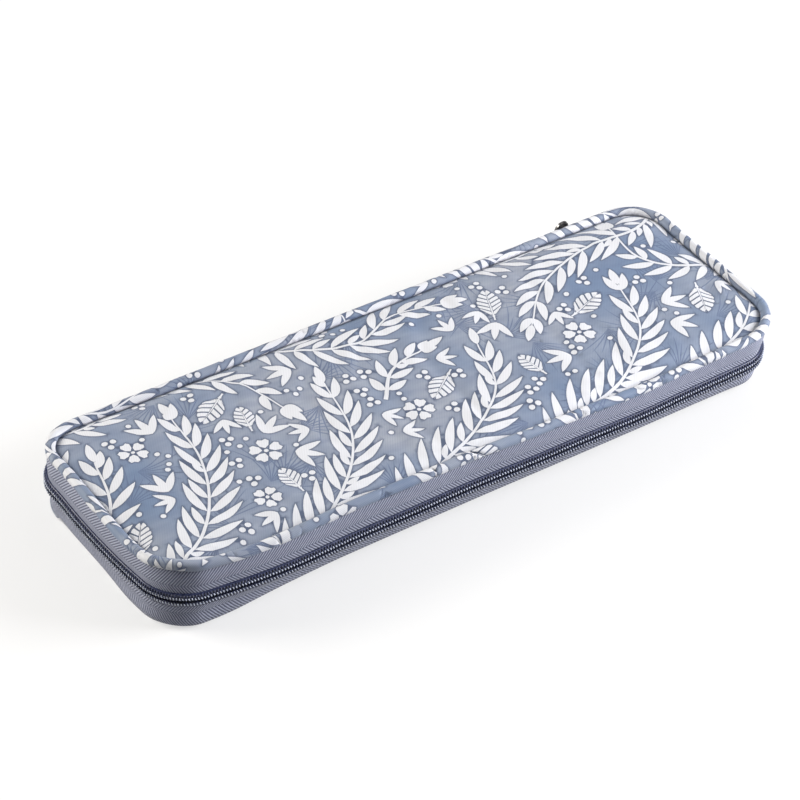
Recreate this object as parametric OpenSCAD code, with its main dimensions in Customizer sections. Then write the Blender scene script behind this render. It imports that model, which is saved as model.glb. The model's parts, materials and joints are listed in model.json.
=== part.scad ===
// Zip-round padded case for straight knitting needles.
// The long side lies along X, the hinged spine is the +Y side, and the
// underside rests on Z = 0 with the origin at the middle of the case.

/* [Case] */
// Length over the piping
case_len = 390; // [360:5:460]
// Width over the piping
case_wid = 134; // [120:2:180]
// Corner radius over the piping
corner_r = 26; // [22:1:34]
// Gap between sewn pieces
seam_gap = 0.3; // [0.2:0.05:0.5]

/* [Panels] */
// Thickness of the printed cover cloth
cloth_t = 0.8; // [0.5:0.1:1.2]
// Thickness of the flat padding in the base
pad_t = 4; // [3:0.5:6]
// Thickness of the stiffening boards
board_t = 1.5; // [1:0.5:2.5]
// Thickness of the lining
lining_t = 0.7; // [0.5:0.1:1.2]
// Rise of the lid's crown above the centre of its piping
crown_rise = 3; // [1.5:0.5:5]
// Width of the sloping border round the crown
crown_border = 30; // [20:1:40]

/* [Piping] */
// Outer diameter of the piping
piping_d = 5.5; // [4.5:0.5:7]
// Thickness of the cloth round the piping
piping_cloth_t = 0.5; // [0.3:0.1:0.8]
// Height of the piping above the table
piping_lift = 0.25; // [0.1:0.05:0.5]

/* [Zip] */
// Width of the closed chain
chain_w = 8; // [7:0.5:10]
// Height of each half of the chain above its tape
coil_t = 1.8; // [1.4:0.1:2.2]
// Gap between the two halves of the chain
chain_gap = 0.9; // [0.8:0.1:1.2]
// Width of tape that shows on each side of the chain
tape_show = 11.5; // [9:0.5:18]
// Thickness of the tape
tape_t = 0.8; // [0.5:0.1:1.2]
// Distance from the outer face of the piping in to the tape
tape_inset = 1.8; // [1.4:0.1:2.4]

/* [Spine] */
// Length of each straight tail of the zip, from the spine strip to the corner
tail_len = 45; // [44:1:60]
// Length of tape sewn in under each end of the spine strip
tape_tuck = 5; // [3:1:8]

/* [Slider] */
// Length of chain between the top stops and the parked slider
park_gap = 6; // [1:0.5:8]
// Length of the slider
slider_len = 14; // [12:0.5:15]
// Thickness of the slider's plates
plate_t = 1.3; // [1:0.1:1.6]
// Clearance between the slider and the chain
slide_gap = 0.3; // [0.2:0.05:0.4]
// Thickness of the slider's post between the chain halves
post_t = 0.4; // [0.3:0.05:0.4]
// Radius of the ring, to the middle of its wire
ring_r = 3.4; // [3.2:0.1:4]
// Diameter of the ring's wire
ring_d = 1; // [0.8:0.1:1.2]

/* [Pull] */
// Width of the pull tab
tab_w = 8; // [7:0.5:10]
// Length of the pull tab
tab_len = 22.6; // [20:0.2:28]
// Thickness of the pull tab
tab_t = 1.4; // [1:0.1:2]
// Width of the raised rim of the tab
tab_rim = 1.1; // [0.8:0.1:1.5]
// Depth of the panel inside the rim
tab_sink = 0.35; // [0.2:0.05:0.4]
// Distance from the lower end of the tab to the middle of its eye
eye_in = 2.2; // [2:0.1:3]
// Diameter of the eye
eye_d = 2.2; // [2:0.1:2.6]
// Gap between the leaning tab and the piping of the lid
tab_gap = 0.5; // [0.3:0.1:1]

/* [Needle sleeve] */
// Number of needle channels
channels = 8; // [6:1:9]
// Clear height of each channel
channel_h = 5; // [4.5:0.5:6]
// Length of the channels
sleeve_len = 250; // [180:5:270]
// Thickness of the seam walls between channels
seam_t = 1; // [0.8:0.1:1.6]
// Thickness of the sleeve cloth
sleeve_t = 0.8; // [0.5:0.1:1.2]
// Distance from the side of the case to the outer seam of the sleeve
sleeve_inset = 8; // [8:0.5:12]
// Reach of the sleeve past the centres of the corner arcs
sleeve_reach = 7; // [4:0.5:7]
// Width of the binding on the open end of the sleeve
mouth_w = 8; // [5:0.5:12]
// Thickness of the bindings and the elastic
binding_t = 0.7; // [0.5:0.1:1]

/* [Elastic loops] */
// Width of the elastic band
elastic_w = 25; // [15:1:30]
// Distance from the right end of the case to the middle of the elastic band
elastic_inset = 67; // [60:1:70]
// Clear height under the elastic band
elastic_h = 6; // [5:0.5:7]

/* [Lid pocket] */
// Clear height of the lid pocket
pocket_h = 5; // [4.5:0.5:6]
// Depth of the lid pocket, from its closed side to its mouth
pocket_depth = 69; // [50:1:80]
// Width of the elastic edge of the lid pocket
pocket_edge_w = 10; // [6:1:14]

/* [Inner binding] */
// Width of the binding round the inside corners
bind_w = 3; // [2.5:0.5:3]
// Height of the binding round the inside corners
bind_h = 2.2; // [1.5:0.1:3]

/* [Hidden] */

$fn = 64;

// Colours
print_blue = "#a9b2c8";
tape_blue = "#7f87a0";
coil_navy = "#2b3248";
lining_blue = "#6f7a96";
board_grey = "#d8d8d4";
foam_white = "#f2f1ec";
cord_white = "#e8e6df";
metal_grey = "#4a4a4e";

// Radii and centres of the corners, and the straight runs between them
piping_r = piping_d / 2;
cx = case_len / 2 - corner_r;
cy = case_wid / 2 - corner_r;

// Heights, from the table up
base_pipe_z = piping_lift + piping_r;
base_pad_z = cloth_t;
base_board_z = base_pad_z + pad_t;
base_lining_z = base_board_z + board_t;
floor_z = base_lining_z + lining_t;
wall_z0 = base_pipe_z + piping_r + seam_gap;
chain_z0 = wall_z0 + tape_show;
chain_mid = chain_z0 + chain_w / 2;
wall_z1 = chain_z0 + chain_w + tape_show;
lid_pipe_z = wall_z1 + seam_gap + piping_r;

// The lid's flat layers repeat the base's, upside down
function mirrored(z) = base_pipe_z + lid_pipe_z - z;
ceiling_z = mirrored(floor_z);
lid_board_z = mirrored(base_lining_z);
lid_pad_z = mirrored(base_board_z);

// Distances in from the outer face of the piping
panel_inset = piping_d + seam_gap;
wall_in = tape_inset + tape_t;
spine_clear = 0.4;
lining_inset = wall_in + tape_t + spine_clear;
bind_inset = wall_in + seam_gap;

// Radial and Y places of the wall, from the corner centres and from the middle
tape_r = corner_r - tape_inset;
wall_r = tape_r - tape_t;
tape_y = case_wid / 2 - tape_inset;
wall_y = tape_y - tape_t;
pipe_y = case_wid / 2 - piping_r;
coil_chamfer = coil_t * 0.3;
cord_gap = 0.05;

// The spine strip and the chain's tails fill the straight back edge
spine_half = cx - tail_len;
tail_x0 = spine_half - tape_tuck;
tail_x1 = cx - seam_gap;
stop_x0 = spine_half + 2 * seam_gap;
stop_len = 2.4;
stop_in = 0.4;

// Slider, parked just past the top stops
slider_x = stop_x0 + stop_len + park_gap + slider_len / 2;
channel_y0 = wall_y - slide_gap;
channel_y1 = tape_y + coil_t + slide_gap;
outer_y = channel_y1 + plate_t;
bridge_gap = 1.6;
bridge_t = 1;
bridge_w = 2;
bridge_len = 9;
bridge_post = 1.2;
mouth_half = chain_w / 2 + 2.6;
heel_half = chain_w / 2 + 1.8;
lip_half = chain_w / 2 + 0.5;
post_len = 2.4;
weld = 0.2;
ring_y = outer_y + bridge_gap / 2 + ring_r;

// The tab leans in until it almost touches the piping of the lid
lean_dy = ring_y - pipe_y;
lean_dz = lid_pipe_z - chain_mid;
lean_d = sqrt(lean_dy * lean_dy + lean_dz * lean_dz);
tab_lean = acos((tab_t / 2 + piping_r + tab_gap) / lean_d) - atan2(lean_dz, lean_dy);

// Needle sleeve, elastic and lid pocket
inner_wid = case_wid - 2 * sleeve_inset;
sleeve_x0 = -(cx + sleeve_reach);
sleeve_x1 = sleeve_x0 + sleeve_len;
sleeve_z = floor_z + channel_h;
pitch = (inner_wid - seam_t) / channels;
elastic_x = case_len / 2 - elastic_inset;
elastic_z = floor_z + elastic_h;
pocket_z = ceiling_z - pocket_h;
pocket_y1 = inner_wid / 2;
pocket_y0 = pocket_y1 - pocket_depth;
pocket_half = cx + sleeve_reach;

// Crown of the lid, from its edge just under the centre of the piping
edge_drop = 0.2;
cover_gap = 0.2;
lid_edge_z = lid_pipe_z - edge_drop;
rise = crown_rise + edge_drop;
rings = [0, 0.04, 0.1, 0.2, 0.35, 0.6, 1];
corner_steps = 6;

// ---- shapes that repeat ----

// Flat plate with the case's plan, drawn in by inset on every side
module plate(inset, z, t) {
    r = corner_r - inset;
    translate([0, 0, z])
        linear_extrude(t)
            union() {
                square([2 * (cx + r), 2 * cy], center = true);
                square([2 * cx, 2 * (cy + r)], center = true);
                for (sx = [-1, 1], sy = [-1, 1])
                    translate([sx * cx, sy * cy])
                        circle(r);
            }
}

// Sweeps a section round the corners, the ends and the front of the case.
// The section's X is the distance out from the corner centres, its Y the height.
module rim(back) {
    for (k = [[1, -1, 270], [-1, -1, 180], [-1, 1, 90], [1, 1, 0]])
        translate([k[0] * cx, k[1] * cy, 0])
            rotate([0, 0, k[2]])
                rotate_extrude(angle = 90)
                    children();
    run(cx, cy, 0, 2 * cy)
        children();
    run(cx, -cy, 270, 2 * cx)
        children();
    run(-cx, -cy, 180, 2 * cy)
        children();
    if (back)
        run(-cx, cy, 90, 2 * cx)
            children();
}

// A straight run of the same section, starting at [x, y] and facing angle a
module run(x, y, a, length) {
    translate([x, y, 0])
        rotate([0, 0, a])
            rotate([90, 0, 0])
                linear_extrude(length)
                    children();
}

// A straight run along the back edge from x0 to x1
module tail(x0, x1) {
    run(x0, cy, 90, x1 - x0)
        children();
}

// Both tails, the left one a mirror image of the right one
module tails(x0, x1) {
    for (m = [0, 1])
        mirror([m, 0, 0])
            tail(x0, x1)
                children();
}

// Sections of the zip wall: tape and rounded chain half between two heights
module tape_section(z0, z1) {
    translate([wall_r, z0])
        square([tape_t, z1 - z0]);
}

module coil_section(z0, z1) {
    polygon([
        [tape_r, z0],
        [tape_r + coil_t - coil_chamfer, z0],
        [tape_r + coil_t, z0 + coil_chamfer],
        [tape_r + coil_t, z1 - coil_chamfer],
        [tape_r + coil_t - coil_chamfer, z1],
        [tape_r, z1]
    ]);
}

module ring_section(r_out, r_in) {
    difference() {
        circle(r_out);
        circle(r_in);
    }
}

module binding_section(z) {
    translate([corner_r - bind_inset - bind_w, z])
        square([bind_w, bind_h]);
}

// Points round the lid at distance d in from its edge, at height z
function loop(d, z) =
    let (
        half_x = case_len / 2 - panel_inset - d,
        half_y = case_wid / 2 - panel_inset - d,
        r = max(corner_r - panel_inset - d, 2)
    )
    [
        for (k = [[1, -1, 270], [1, 1, 0], [-1, 1, 90], [-1, -1, 180]])
            for (i = [0:corner_steps])
                let (a = k[2] + 90 * i / corner_steps)
                [
                    k[0] * (half_x - r) + r * cos(a),
                    k[1] * (half_y - r) + r * sin(a),
                    z
                ]
    ];

// Height of the crown above its edge, at a share s of the way in
function crown(s) = rise * (1 - pow(1 - s, 3));

// A crowned pad whose top starts at z1 and whose underside follows it at
// depth t, or lies flat at z0 where t is 0
module crowned(z1, t, z0) {
    n = 4 * (corner_steps + 1);
    last = len(rings) - 1;
    top = [for (s = rings) each loop(s * crown_border, z1 + crown(s))];
    under = [for (s = rings) each loop(s * crown_border, t > 0 ? z1 - t + crown(s) : z0)];
    mid_top = 2 * n * (last + 1);
    points = concat(top, under, [[0, 0, z1 + rise], [0, 0, t > 0 ? z1 - t + rise : z0]]);
    lower = n * (last + 1);
    faces = concat(
        [for (k = [0:last - 1], i = [0:n - 1]) each quad(
            k * n + i, k * n + (i + 1) % n, (k + 1) * n + (i + 1) % n, (k + 1) * n + i)],
        [for (k = [0:last - 1], i = [0:n - 1]) each quad(
            lower + k * n + i, lower + (k + 1) * n + i,
            lower + (k + 1) * n + (i + 1) % n, lower + k * n + (i + 1) % n)],
        [for (i = [0:n - 1]) [last * n + i, mid_top, last * n + (i + 1) % n]],
        [for (i = [0:n - 1]) [lower + last * n + i, lower + last * n + (i + 1) % n, mid_top + 1]],
        [for (i = [0:n - 1]) each quad(i, lower + i, lower + (i + 1) % n, (i + 1) % n)]
    );
    polyhedron(points, faces);
}

// Two triangles for a four-cornered patch, seen clockwise from outside
function quad(a, b, c, d) = [[a, c, b], [a, d, c]];

// ---- base ----

// Printed cloth under the case
module base_cover() {
    color(print_blue)
        plate(panel_inset, 0, cloth_t);
}

// Flat padding over the cloth
module base_padding() {
    color(foam_white)
        plate(panel_inset, base_pad_z, pad_t);
}

// Board that keeps the base flat
module base_board() {
    color(board_grey)
        plate(panel_inset, base_board_z, board_t);
}

// Lining on the floor of the case
module base_lining() {
    color(lining_blue)
        plate(lining_inset, base_lining_z, lining_t);
}

// Printed cloth tube along the lower edge
module base_piping() {
    color(print_blue)
        rim(true)
            translate([corner_r - piping_r, base_pipe_z])
                ring_section(piping_r, piping_r - piping_cloth_t);
}

// Cord inside the lower piping
module base_piping_cord() {
    color(cord_white)
        rim(true)
            translate([corner_r - piping_r, base_pipe_z])
                circle(piping_r - piping_cloth_t - cord_gap);
}

// Tape that hides the raw edges where wall and floor meet
module base_binding() {
    color(lining_blue)
        rim(false)
            binding_section(floor_z);
}

// Lower tape of the zip, which is the wall of the base
module lower_zip_tape() {
    color(tape_blue)
        rim(false)
            tape_section(wall_z0, chain_mid - chain_gap / 2);
}

// Lower half of the chain
module lower_zip_coil() {
    color(coil_navy)
        rim(false)
            coil_section(chain_z0, chain_mid - chain_gap / 2);
}

// ---- needle sleeve and elastic ----

// Cloth over the needle channels
module needle_sleeve() {
    color(lining_blue)
        translate([sleeve_x0, -inner_wid / 2, sleeve_z])
            cube([sleeve_len, inner_wid, sleeve_t]);
}

// Seams that part the channels
module sleeve_seams() {
    color(lining_blue)
        for (i = [0:channels])
            translate([sleeve_x0 + seam_t + seam_gap, i * pitch - inner_wid / 2, floor_z])
                cube([sleeve_len - seam_t - seam_gap, seam_t, channel_h]);
}

// Seam that closes the channels at their left end
module sleeve_end_seam() {
    color(lining_blue)
        translate([sleeve_x0, -inner_wid / 2, floor_z])
            cube([seam_t, inner_wid, channel_h]);
}

// Binding over the open edge of the sleeve
module sleeve_binding() {
    color(print_blue)
        translate([sleeve_x1 - mouth_w, -inner_wid / 2, sleeve_z + sleeve_t])
            cube([mouth_w, inner_wid, binding_t]);
}

// Elastic band that holds the free ends of the needles
module needle_elastic() {
    color(coil_navy)
        translate([elastic_x - elastic_w / 2, -inner_wid / 2, elastic_z])
            cube([elastic_w, inner_wid, binding_t]);
}

// Sewn-down stretches of the elastic, one between each pair of needles
module elastic_tacks() {
    color(coil_navy)
        for (i = [0:channels])
            translate([elastic_x - elastic_w / 2, i * pitch - inner_wid / 2, floor_z])
                cube([elastic_w, seam_t, elastic_h]);
}

// ---- lid ----

// Printed cloth over the lid, crowned by the padding
module lid_cover() {
    color(print_blue)
        crowned(lid_edge_z, cloth_t, 0);
}

// Padding under the crown
module lid_padding() {
    color(foam_white)
        crowned(lid_edge_z - cloth_t - cover_gap, 0, lid_pad_z);
}

// Board that keeps the lid flat
module lid_board() {
    color(board_grey)
        plate(panel_inset, lid_board_z, board_t);
}

// Lining inside the lid
module lid_lining() {
    color(lining_blue)
        plate(lining_inset, ceiling_z, lining_t);
}

// Printed cloth tube along the upper edge
module lid_piping() {
    color(print_blue)
        rim(true)
            translate([corner_r - piping_r, lid_pipe_z])
                ring_section(piping_r, piping_r - piping_cloth_t);
}

// Cord inside the upper piping
module lid_piping_cord() {
    color(cord_white)
        rim(true)
            translate([corner_r - piping_r, lid_pipe_z])
                circle(piping_r - piping_cloth_t - cord_gap);
}

// Tape that hides the raw edges where wall and lid meet
module lid_binding() {
    color(lining_blue)
        rim(false)
            binding_section(ceiling_z - bind_h);
}

// Upper tape of the zip, which is the wall of the lid
module upper_zip_tape() {
    color(tape_blue)
        rim(false)
            tape_section(chain_mid + chain_gap / 2, wall_z1);
}

// Upper half of the chain
module upper_zip_coil() {
    color(coil_navy)
        rim(false)
            coil_section(chain_mid + chain_gap / 2, chain_z0 + chain_w);
}

// Cloth of the slip pocket inside the lid
module lid_pocket() {
    color(lining_blue)
        translate([-pocket_half, pocket_y0, pocket_z - sleeve_t])
            cube([2 * pocket_half, pocket_depth, sleeve_t]);
}

// Seams at the two ends of the pocket and across its middle
module pocket_side_seams() {
    color(lining_blue)
        for (x = [-pocket_half, -seam_t / 2, pocket_half - seam_t])
            translate([x, pocket_y0, pocket_z])
                cube([seam_t, pocket_depth - seam_t - seam_gap, pocket_h]);
}

// Seam that closes the pocket along the spine
module pocket_end_seam() {
    color(lining_blue)
        translate([-pocket_half, pocket_y1 - seam_t, pocket_z])
            cube([2 * pocket_half, seam_t, pocket_h]);
}

// Elastic along the mouth of the pocket
module pocket_elastic() {
    color(coil_navy)
        translate([-pocket_half, pocket_y0, pocket_z - sleeve_t - binding_t])
            cube([2 * pocket_half, pocket_edge_w, binding_t]);
}

// ---- spine ----

// Printed cloth of the spine, over the ends of the tapes
module spine_cover() {
    color(print_blue)
        tail(-spine_half, spine_half)
            translate([tape_r, wall_z0])
                square([cloth_t, wall_z1 - wall_z0]);
}

// Stiffener between the ends of the tapes
module spine_stiffener() {
    color(board_grey)
        tail(-tail_x0 + seam_gap, tail_x0 - seam_gap)
            tape_section(wall_z0, wall_z1);
}

// Lining of the spine
module spine_lining() {
    color(lining_blue)
        tail(-spine_half, spine_half)
            translate([wall_r - tape_t, wall_z0])
                square([tape_t, wall_z1 - wall_z0]);
}

// Straight ends of the lower tape
module tail_tape_lower() {
    color(tape_blue)
        tails(tail_x0, tail_x1)
            tape_section(wall_z0, chain_mid - chain_gap / 2);
}

// Straight ends of the upper tape
module tail_tape_upper() {
    color(tape_blue)
        tails(tail_x0, tail_x1)
            tape_section(chain_mid + chain_gap / 2, wall_z1);
}

// Straight ends of the lower half of the chain
module tail_coil_lower() {
    color(coil_navy)
        tails(stop_x0 + stop_len, tail_x1)
            coil_section(chain_z0, chain_mid - chain_gap / 2);
}

// Straight ends of the upper half of the chain
module tail_coil_upper() {
    color(coil_navy)
        tails(stop_x0 + stop_len, tail_x1)
            coil_section(chain_mid + chain_gap / 2, chain_z0 + chain_w);
}

// Metal stops that end the chain at the parked slider
module zip_top_stops() {
    color(metal_grey) {
        tail(stop_x0, stop_x0 + stop_len)
            coil_section(chain_z0 + stop_in, chain_mid - chain_gap / 2);
        tail(stop_x0, stop_x0 + stop_len)
            coil_section(chain_mid + chain_gap / 2, chain_z0 + chain_w - stop_in);
    }
}

// Metal stop that joins both halves at the chain's other end
module zip_bottom_stop() {
    color(metal_grey)
        tail(-stop_x0 - stop_len, -stop_x0)
            coil_section(chain_z0 + stop_in, chain_z0 + chain_w - stop_in);
}

// ---- slider and pull ----

// Outline of the slider's plates, wide where the chain parts
module slider_outline() {
    half = slider_len / 2;
    cut = 1.6;
    shoulder = 5;
    polygon([
        [-half, -mouth_half + cut], [-half + cut, -mouth_half],
        [-half + shoulder, -mouth_half], [half - cut, -heel_half],
        [half, -heel_half + cut], [half, heel_half - cut],
        [half - cut, heel_half], [-half + shoulder, mouth_half],
        [-half + cut, mouth_half], [-half, mouth_half - cut]
    ]);
}

// A plate of the slider between two Y values, standing upright
module slider_plate(y0, y1) {
    translate([0, y1, 0])
        rotate([90, 0, 0])
            linear_extrude(y1 - y0)
                children();
}

// Two plates, the post between them, the turned-in edges and the bridge
module slider() {
    color(metal_grey)
        translate([slider_x, 0, chain_mid]) {
            slider_plate(channel_y1, outer_y)
                slider_outline();
            slider_plate(channel_y0 - plate_t, channel_y0)
                slider_outline();
            slider_plate(tape_y + slide_gap, channel_y1 + weld)
                difference() {
                    slider_outline();
                    square([2 * slider_len, 2 * lip_half], center = true);
                }
            translate([post_len / 4 - slider_len / 2, channel_y0 - weld, -post_t / 2])
                cube([post_len, channel_y1 - channel_y0 + 2 * weld, post_t]);
            slider_bridge();
        }
}

// Arched bar on the outer plate, which carries the ring
module slider_bridge() {
    window = bridge_len - 2 * bridge_post;
    difference() {
        translate([-bridge_len / 2, outer_y - weld, -bridge_w / 2])
            cube([bridge_len, weld + bridge_gap + bridge_t, bridge_w]);
        translate([-window / 2, outer_y - bridge_gap, -bridge_w])
            cube([window, 2 * bridge_gap, 2 * bridge_w]);
    }
}

// Ring through the bridge, standing across the chain
module pull_ring() {
    color(metal_grey)
        translate([slider_x, ring_y, chain_mid])
            rotate([0, 90, 0])
                rotate_extrude()
                    translate([ring_r, 0])
                        circle(d = ring_d, $fn = 24);
}

// A bar with round ends from the eye to the tip, drawn in by inset
module tab_outline(inset) {
    r = tab_w / 2 - inset;
    straight = tab_len - tab_w;
    translate([-r, tab_w / 2])
        square([2 * r, straight]);
    translate([0, tab_w / 2])
        circle(r);
    translate([0, tab_w / 2 + straight])
        circle(r);
}

// Pull tab with a rim, an eye and a sunk panel on both faces
module pull_tab() {
    color(metal_grey)
        translate([slider_x, ring_y, chain_mid])
            rotate([tab_lean, 0, 0])
                translate([0, tab_t / 2, ring_r - eye_in])
                    rotate([90, 0, 0])
                        difference() {
                            linear_extrude(tab_t)
                                tab_outline(0);
                            translate([0, eye_in, -tab_t])
                                cylinder(h = 3 * tab_t, d = eye_d);
                            for (z = [tab_sink - tab_t, tab_t - tab_sink])
                                translate([0, 0, z])
                                    linear_extrude(tab_t)
                                        tab_panel();
                        }
}

// Outline of the sunk panel, clear of the eye and inside the rim
module tab_panel() {
    panel_y0 = eye_in + eye_d / 2 + tab_rim;
    intersection() {
        tab_outline(tab_rim);
        translate([-tab_w, panel_y0])
            square([2 * tab_w, tab_len]);
    }
}

base_cover();
base_padding();
base_board();
base_lining();
base_piping();
base_piping_cord();
base_binding();
lower_zip_tape();
lower_zip_coil();
needle_sleeve();
sleeve_seams();
sleeve_end_seam();
sleeve_binding();
needle_elastic();
elastic_tacks();
lid_cover();
lid_padding();
lid_board();
lid_lining();
lid_piping();
lid_piping_cord();
lid_binding();
upper_zip_tape();
upper_zip_coil();
lid_pocket();
pocket_side_seams();
pocket_end_seam();
pocket_elastic();
spine_cover();
spine_stiffener();
spine_lining();
tail_tape_lower();
tail_tape_upper();
tail_coil_lower();
tail_coil_upper();
zip_top_stops();
zip_bottom_stop();
slider();
pull_ring();
pull_tab();
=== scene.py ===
# %% [markdown]
# # A zip-round case for knitting needles
# The real thing is a flat, padded box of printed cloth. A zip runs round three
# of its sides, and the fourth is a soft spine that lets the lid fall open.
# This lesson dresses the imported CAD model: the frame gives every place and
# every joint, and each cell adds one piece or one finish to it.

# %% The frame
import json
import math
import random

import bmesh
import bpy
import numpy as np
from mathutils import Matrix, Vector, kdtree
from mathutils.bvhtree import BVHTree
from mathutils.geometry import delaunay_2d_cdt

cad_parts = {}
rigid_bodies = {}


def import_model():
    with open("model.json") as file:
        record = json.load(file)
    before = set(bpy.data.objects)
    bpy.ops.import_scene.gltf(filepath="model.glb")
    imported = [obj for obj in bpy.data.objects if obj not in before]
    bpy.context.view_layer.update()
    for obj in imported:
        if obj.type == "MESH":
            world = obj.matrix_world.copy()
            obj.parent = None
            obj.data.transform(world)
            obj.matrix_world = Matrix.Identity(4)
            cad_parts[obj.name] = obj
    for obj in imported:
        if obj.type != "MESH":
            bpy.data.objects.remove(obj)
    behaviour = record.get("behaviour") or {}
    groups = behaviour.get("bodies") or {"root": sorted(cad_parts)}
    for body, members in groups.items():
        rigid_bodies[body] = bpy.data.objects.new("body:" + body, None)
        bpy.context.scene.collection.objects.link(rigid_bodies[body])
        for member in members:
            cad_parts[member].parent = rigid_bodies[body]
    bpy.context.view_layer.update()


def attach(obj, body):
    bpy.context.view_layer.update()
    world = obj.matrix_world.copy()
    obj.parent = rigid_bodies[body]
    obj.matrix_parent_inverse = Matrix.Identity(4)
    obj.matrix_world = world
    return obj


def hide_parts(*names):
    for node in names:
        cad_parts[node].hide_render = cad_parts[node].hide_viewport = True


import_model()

MM = 0.001

# %% [markdown]
# ## The camera
# The photograph was taken with a long lens from the near left, about 40
# degrees up, and held a little out of level. Building the camera's own axes
# from those angles keeps the roll apart from the aim.

# %% The camera
VIEW_TURN, VIEW_LIFT, VIEW_ROLL = (math.radians(a) for a in (-35.37, 40.28, 2.48))
VIEW_DISTANCE = 1.750
FOCAL_PIXELS, PHOTO_PIXELS, SENSOR = 3304, 800, 36
AIM = Vector((-0.8, 16.8, 15)) * MM

back = Vector((
    math.sin(VIEW_TURN) * math.cos(VIEW_LIFT),
    -math.cos(VIEW_TURN) * math.cos(VIEW_LIFT),
    math.sin(VIEW_LIFT),
))
level = (-back).cross(Vector((0, 0, 1))).normalized()
rise = level.cross(-back)
right = level * math.cos(VIEW_ROLL) + rise * math.sin(VIEW_ROLL)
up = rise * math.cos(VIEW_ROLL) - level * math.sin(VIEW_ROLL)

camera = bpy.data.objects.new("camera", bpy.data.cameras.new("camera"))
camera.data.lens = FOCAL_PIXELS * SENSOR / PHOTO_PIXELS
camera.data.sensor_width = SENSOR
camera.data.clip_end = 20
camera.matrix_world = Matrix((right, up, back)).transposed().to_4x4()
camera.location = AIM + back * VIEW_DISTANCE
bpy.context.scene.collection.objects.link(camera)
bpy.context.scene.camera = camera
print("lens, mm:", round(camera.data.lens, 1))

# %% [markdown]
# ## The outline of the case
# Nearly every piece follows the same rounded rectangle: piping, zip, tape,
# linings and bindings. One function gives a point on it from the distance
# walked round it and the depth in from the edge, clockwise from the middle of
# the spine. All drawing here is in millimetres.

# %% The outline of the case
HALF_LEN, HALF_WID, CORNER = 195.0, 67.0, 26.0
CORNER_X, CORNER_Y = HALF_LEN - CORNER, HALF_WID - CORNER
BEND = CORNER * math.pi / 2
LEGS = np.cumsum([0, CORNER_X, BEND, 2 * CORNER_Y, BEND, 2 * CORNER_X,
                  BEND, 2 * CORNER_Y, BEND, CORNER_X])
HEADINGS = np.radians([90, 90, 0, 0, -90, -90, -180, -180, -270, -270])
PIVOT_X = np.array([0, 1, 1, 1, 1, -1, -1, -1, -1, 0]) * CORNER_X
PIVOT_Y = np.array([1, 1, 1, -1, -1, -1, -1, 1, 1, 1]) * CORNER_Y
ROUND = LEGS[-1]
ZIP_FROM, ZIP_TO = LEGS[1], LEGS[8]


def outward(walk):
    """Directions that point out of the case at these distances round it."""
    turn = np.interp(np.mod(walk, ROUND), LEGS, HEADINGS)
    return np.stack([np.cos(turn), np.sin(turn), 0 * turn], -1)


def around(walk, depth, z):
    """Points at these distances round the case, this deep in from its edge."""
    walk, depth, z = np.broadcast_arrays(walk, depth, z)
    at = np.mod(walk, ROUND)
    pivot = np.stack([np.interp(at, LEGS, PIVOT_X), np.interp(at, LEGS, PIVOT_Y), z], -1)
    return pivot + outward(walk) * (CORNER - depth)[..., None]


def depth_in(x, y):
    """How far in from the edge of the case a point of the plan lies."""
    beyond_x, beyond_y = np.abs(x) - CORNER_X, np.abs(y) - CORNER_Y
    outside = np.hypot(np.maximum(beyond_x, 0), np.maximum(beyond_y, 0))
    return CORNER - outside - np.minimum(np.maximum(beyond_x, beyond_y), 0)


def ease(t):
    t = np.clip(t, 0, 1)
    return t * t * (3 - 2 * t)


print("once round the edge, mm:", round(ROUND, 1))

# %% [markdown]
# ## How the soft box has settled
# The case isn't stiff. Its base has drawn in under the lid along the front,
# the zip bulges a little, the corner nearest the camera is rounder than it was
# cut, and the lid's edge rises and falls. A short table gives these moves in
# millimetres at stations round the edge. One function moves every soft piece
# by it, so that neighbours stay together. Nothing moves along the spine, where
# the hinges need the true shape.

# %% How the soft box has settled
ZIP_MID, BASE_SEAM, LID_SEAM = 21.55, 3.0, 40.1
FADE_FROM, FADE_TO = 5.0, 25.0
CHAIN_HALF = 4.4
WANDER = 0.3
ROUND_OFF_REACH, ROUND_OFF_WIDTH = 20, 8.0
# Distance round the edge; there, the base in and up, the zip in, the lid in and up
STATIONS = np.array([
    (0, 0, 0, 0, 0, 0), (176, 0, 0, 0, 0, 0), (205, 0.3, 0, 0.6, 0.5, 1.0),
    (235, 1.4, 0, 2.2, 1.8, 2.4), (262, 2.2, 0, 3.2, 2.6, 3.2), (292, 4.6, 0.8, 4.0, 2.2, 3.4),
    (312, 8, 1.8, 3.2, 1.2, 2.8), (333, 10, 2.2, 0.9, 0.3, 0.5), (362, 10, 2.2, -0.4, 0, -0.8),
    (402, 9.6, 2.2, -1.6, 0, -2.0), (442, 9.5, 2.2, -1.1, 0, -0.7), (502, 9.5, 2.2, -0.6, 0, 1.0),
    (562, 9, 2.2, -1.0, 0, 1.6), (592, 8.8, 2, -1.1, 0, 1.8),
    (622, 7.6, 1.6, -1.6, 0, 0.8), (637, 6.8, 1.2, -1.5, 0, 0.2), (652, 5.8, 0.6, -0.7, 0.2, 0.4),
    (671, 6.2, 0, 1.2, 1.9, 1.8), (684, 6.6, 0, 2.5, 4.1, 3.0), (698, 6.2, 0, 2.4, 3.9, 2.6),
    (711, 3.6, 0, 1.2, 1.2, 0.7), (726, 2.3, 0, -0.9, -0.3, -0.8), (748, 3.1, 0, -1.8, 0, -0.2),
    (772, 2.7, 0, -1.8, 0.3, 1.2), (790, 2.2, 0, -1.6, 0, 1.6), (806, -0.2, 0, -2.8, -1.8, 1.0),
    (820, -1.2, 0, -2.0, -1.6, 0.2), (829, 0, 0, 0, 0, 0), (ROUND, 0, 0, 0, 0, 0)])


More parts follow.
